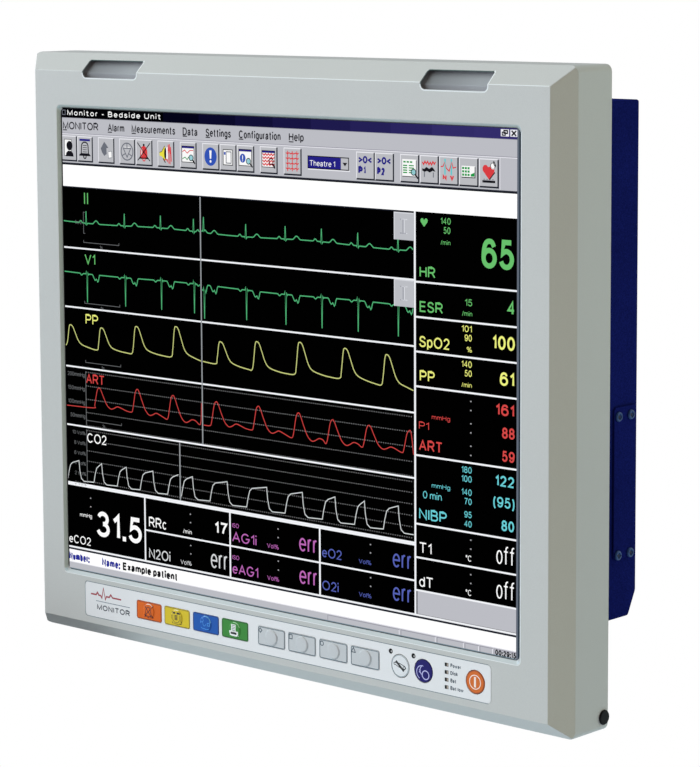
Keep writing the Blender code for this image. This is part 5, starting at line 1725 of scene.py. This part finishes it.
def tube_faces(rows, closed):
    """Faces round a tube of rings of WIRE_SIDES vertices."""
    faces = []
    for k in range(rows if closed else rows - 1):
        here, ahead = k * WIRE_SIDES, (k + 1) % rows * WIRE_SIDES
        for i in range(WIRE_SIDES):
            j = (i + 1) % WIRE_SIDES
            faces.append((here + i, here + j, ahead + j, ahead + i))
    return faces


def guard_ring(name, radius):
    verts = []
    for cos, sin in ellipse(0, 0, 1, 1, RING_COUNT):
        for a, b in ellipse(0, 0, WIRE_R, WIRE_R, WIRE_SIDES):
            verts.append(guard_place + Vector(((radius + a) * cos, b, (radius + a) * sin)) * MM)
    solid(name, verts, tube_faces(RING_COUNT, closed=True), zinc, smooth=60)


def guard_bar(name, angle):
    cos, sin = math.cos(math.radians(angle)), math.sin(math.radians(angle))
    verts = []
    for end, radius in BAR_ENDS:
        for a, b in ellipse(0, 0, radius, radius, WIRE_SIDES):
            verts.append(guard_place + Vector((end * cos - a * sin, b - WIRE_R,
                                               end * sin + a * cos)) * MM)
    faces = tube_faces(len(BAR_ENDS), closed=False)
    faces.append(tuple(range(WIRE_SIDES - 1, -1, -1)))
    faces.append(tuple(range(3 * WIRE_SIDES, 4 * WIRE_SIDES)))
    solid(name, verts, faces, zinc, smooth=50)


for i, radius in enumerate((9.0, 15.5, 22.0, 28.5)):
    guard_ring(f"fan_guard_ring_{i + 1}", radius)
for i, angle in enumerate((45.0, 135.0)):
    guard_bar(f"fan_guard_bar_{i + 1}", angle)
for i, angle in enumerate((45.0, 135.0, 225.0, 315.0)):
    turn = math.radians(angle)
    pan_screw(f"fan_screw_{i + 1}",
              Vector(((fan_x + FAN_SCREW_R * math.cos(turn)) * MM, BACK_Y + 0.02 * MM,
                      (fan_z + FAN_SCREW_R * math.sin(turn)) * MM)), size=3.2)


def block(name, low, high, mat, roll=0.25):
    """A box with rolled edges, from corners in millimetres."""
    bm = bmesh.new()
    bmesh.ops.create_cube(bm, size=1.0)
    for vert in bm.verts:
        vert.co = Vector([(a + b) / 2 + unit * (b - a)
                          for a, b, unit in zip(low, high, vert.co)]) * MM
    bmesh.ops.bevel(bm, geom=list(bm.edges), offset=roll * MM, segments=2, profile=0.5,
                    affect="EDGES")
    mesh = bpy.data.meshes.new(name)
    bm.to_mesh(mesh)
    bm.free()
    return link(name, mesh, mat, "monitor", smooth=50)


# blades of the mains inlet, contacts of the two signal sockets
x, y, _ = middle("power_inlet")
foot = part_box("power_inlet")[0].z / MM
for i, (across, back) in enumerate(((-7.0, -2.2), (0.0, 2.4), (7.0, -2.2))):
    block(f"inlet_blade_{i + 1}", (x + across - 1.0, y + back - 2.0, foot + 2.5),
          (x + across + 1.0, y + back + 2.0, foot + 15.5), brass)
x, y, _ = middle("network_socket")
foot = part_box("network_socket")[0].z / MM
for i in range(8):
    block(f"network_contact_{i + 1}", (x - 4.05 + i * 1.02, y - 4.4, foot + 1.4),
          (x - 3.65 + i * 1.02, y - 3.6, foot + 7.0), gold, roll=0.08)
x, y, _ = middle("patient_module_socket")
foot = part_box("patient_module_socket")[0].z / MM
for row, back in (("a", -1.6), ("b", 1.6)):
    for i in range(10):
        turned(f"module_pin_{row}_{i}",
               Vector(((x - 12.6 + i * 2.8) * MM, (y + back) * MM, (foot + 1.6) * MM)),
               [(0.0, 0.0), (0.28, 0.1), (0.42, 0.4), (0.42, 7.0), (0.0, 7.0)], gold, "Z", 12)

# =============================================================================
# stage: floor, dark card, surroundings, camera
# =============================================================================
FLOOR_RGB = (0.72, 0.73, 0.74)
FLOOR_FILL = (0.035, 0.10, 0.155)          # light thrown back up by the lit floor
WHITE = (1, 1, 1, 1)


def stage_floor():
    """A pale floor that throws light back up, and looks white to the camera."""
    bpy.ops.mesh.primitive_plane_add(size=12.0, location=(0, 0, CAD_BOX[0].z - 0.30))
    floor = bpy.context.object
    floor.name = "floor"
    mat, tree, _ = new_material("pale_floor")
    tree.nodes.clear()
    out = add_node(tree, "OutputMaterial")
    matt = add_node(tree, "BsdfDiffuse")
    matt.inputs["Color"].default_value = (*FLOOR_RGB, 1)
    fill = add_node(tree, "Emission", name="fill")
    fill.inputs["Color"].default_value = (*FLOOR_FILL, 1)
    lit = add_node(tree, "AddShader")
    tree.links.new(matt.outputs[0], lit.inputs[0])
    tree.links.new(fill.outputs[0], lit.inputs[1])
    glow = add_node(tree, "Emission")
    glow.inputs["Color"].default_value = WHITE
    show_camera(tree, lighting=lit, shown=glow, out=out)
    mat.cycles.emission_sampling = "NONE"
    floor.data.materials.append(mat)


def dark_flag():
    """A black card below the lower left corner, hidden from the camera, takes light off it."""
    bpy.ops.mesh.primitive_plane_add(size=1.0,
                                     location=(-0.215, FRONT_Y - 0.025, CAD_BOX[0].z - 0.022))
    card = bpy.context.object
    card.name = "dark_flag"
    card.scale = (0.150, 0.085, 1.0)
    card.visible_camera = False
    mat, _, shader = new_material("black_card")
    shader.inputs["Base Color"].default_value = (0.01, 0.01, 0.01, 1)
    shader.inputs["Specular IOR Level"].default_value = 0.0
    card.data.materials.append(mat)


stage_floor()
dark_flag()

# the soft surroundings: an even glow, then broad lobes of light
EVEN_GLOW = (0.10, 0.04, 0.01)
LOBES = (                            # direction, tightness, colour
    ((0.0, -1.0, 0.0), 2.0, (0.22, 0.02, 0.00)),
    ((-0.80, -0.60, 0.10), 3.0, (1.47, 1.64, 1.86)),
    ((-1.0, -0.15, 0.0), 4.0, (1.29, 1.39, 1.80)),
    ((-0.6, -0.5, 0.6), 4.0, (0.96, 1.24, 1.11)),
    ((0.7, 0.7, 0.0), 4.0, (1.22, 1.36, 1.05)),
    ((-0.3, 0.95, 0.2), 2.0, (0.03, 0.04, 0.10)),
    ((0.1, 0.45, 0.89), 6.0, (0.80, 1.00, 1.10)),
)


def build_world():
    world = bpy.data.worlds.new("studio")
    bpy.context.scene.world = world
    world.use_nodes = True
    tree = world.node_tree
    tree.nodes.clear()
    out = add_node(tree, "OutputWorld")
    way_seen = add_node(tree, "TexCoord").outputs["Generated"]
    total = tinted(tree, EVEN_GLOW, 1.0)
    for way, tightness, rgb in LOBES:
        share = calc(tree, "MAXIMUM", facing(tree, way_seen, way), 0.0)
        term = tinted(tree, rgb, calc(tree, "POWER", share, tightness))
        add = add_node(tree, "VectorMath", operation="ADD")
        tree.links.new(total, add.inputs[0])
        tree.links.new(term, add.inputs[1])
        total = add.outputs["Vector"]
    light = add_node(tree, "Background")
    tree.links.new(total, light.inputs["Color"])
    backdrop = add_node(tree, "Background")
    backdrop.inputs["Color"].default_value = WHITE
    show_camera(tree, lighting=light, shown=backdrop, out=out)


build_world()

view = bpy.context.scene.view_settings
view.view_transform = "Standard"
view.look = "None"
view.exposure = 0.0
view.gamma = 1.0

CAMERA_YAW, CAMERA_PITCH, CAMERA_ROLL = 41.44, 6.94, -0.200      # degrees
# where the camera sees the middle of the flat front's plane: right, down, ahead
CAMERA_AIM = Vector((-61.2, 40.2, 1605.1))
CAMERA_LENS = 130.3650587
CAMERA_SHIFT = (-0.0383311604, -0.1024771838)


def build_camera():
    """At the right of the front and a little above it."""
    yaw, pitch, roll = map(math.radians, (CAMERA_YAW, CAMERA_PITCH, CAMERA_ROLL))
    ahead = -Vector((math.sin(yaw) * math.cos(pitch), -math.cos(yaw) * math.cos(pitch),
                     math.sin(pitch)))
    right = ahead.cross(Vector((0, 0, 1))).normalized()
    up = right.cross(ahead)
    cos, sin = math.cos(roll), math.sin(roll)
    right, up = cos * right + sin * up, -sin * right + cos * up
    place = -(right * CAMERA_AIM.x - up * CAMERA_AIM.y + ahead * CAMERA_AIM.z)
    data = bpy.data.cameras.new("camera")
    data.sensor_width = 36.0
    data.lens = CAMERA_LENS
    data.shift_x, data.shift_y = CAMERA_SHIFT
    data.clip_start, data.clip_end = 0.05, 50.0
    obj = bpy.data.objects.new("camera", data)
    bpy.context.scene.collection.objects.link(obj)
    turn = Matrix((right, up, -ahead)).transposed().to_4x4()
    obj.matrix_world = Matrix.Translation(spot(*place)) @ turn
    bpy.context.scene.camera = obj


build_camera()

bpy.context.view_layer.update()
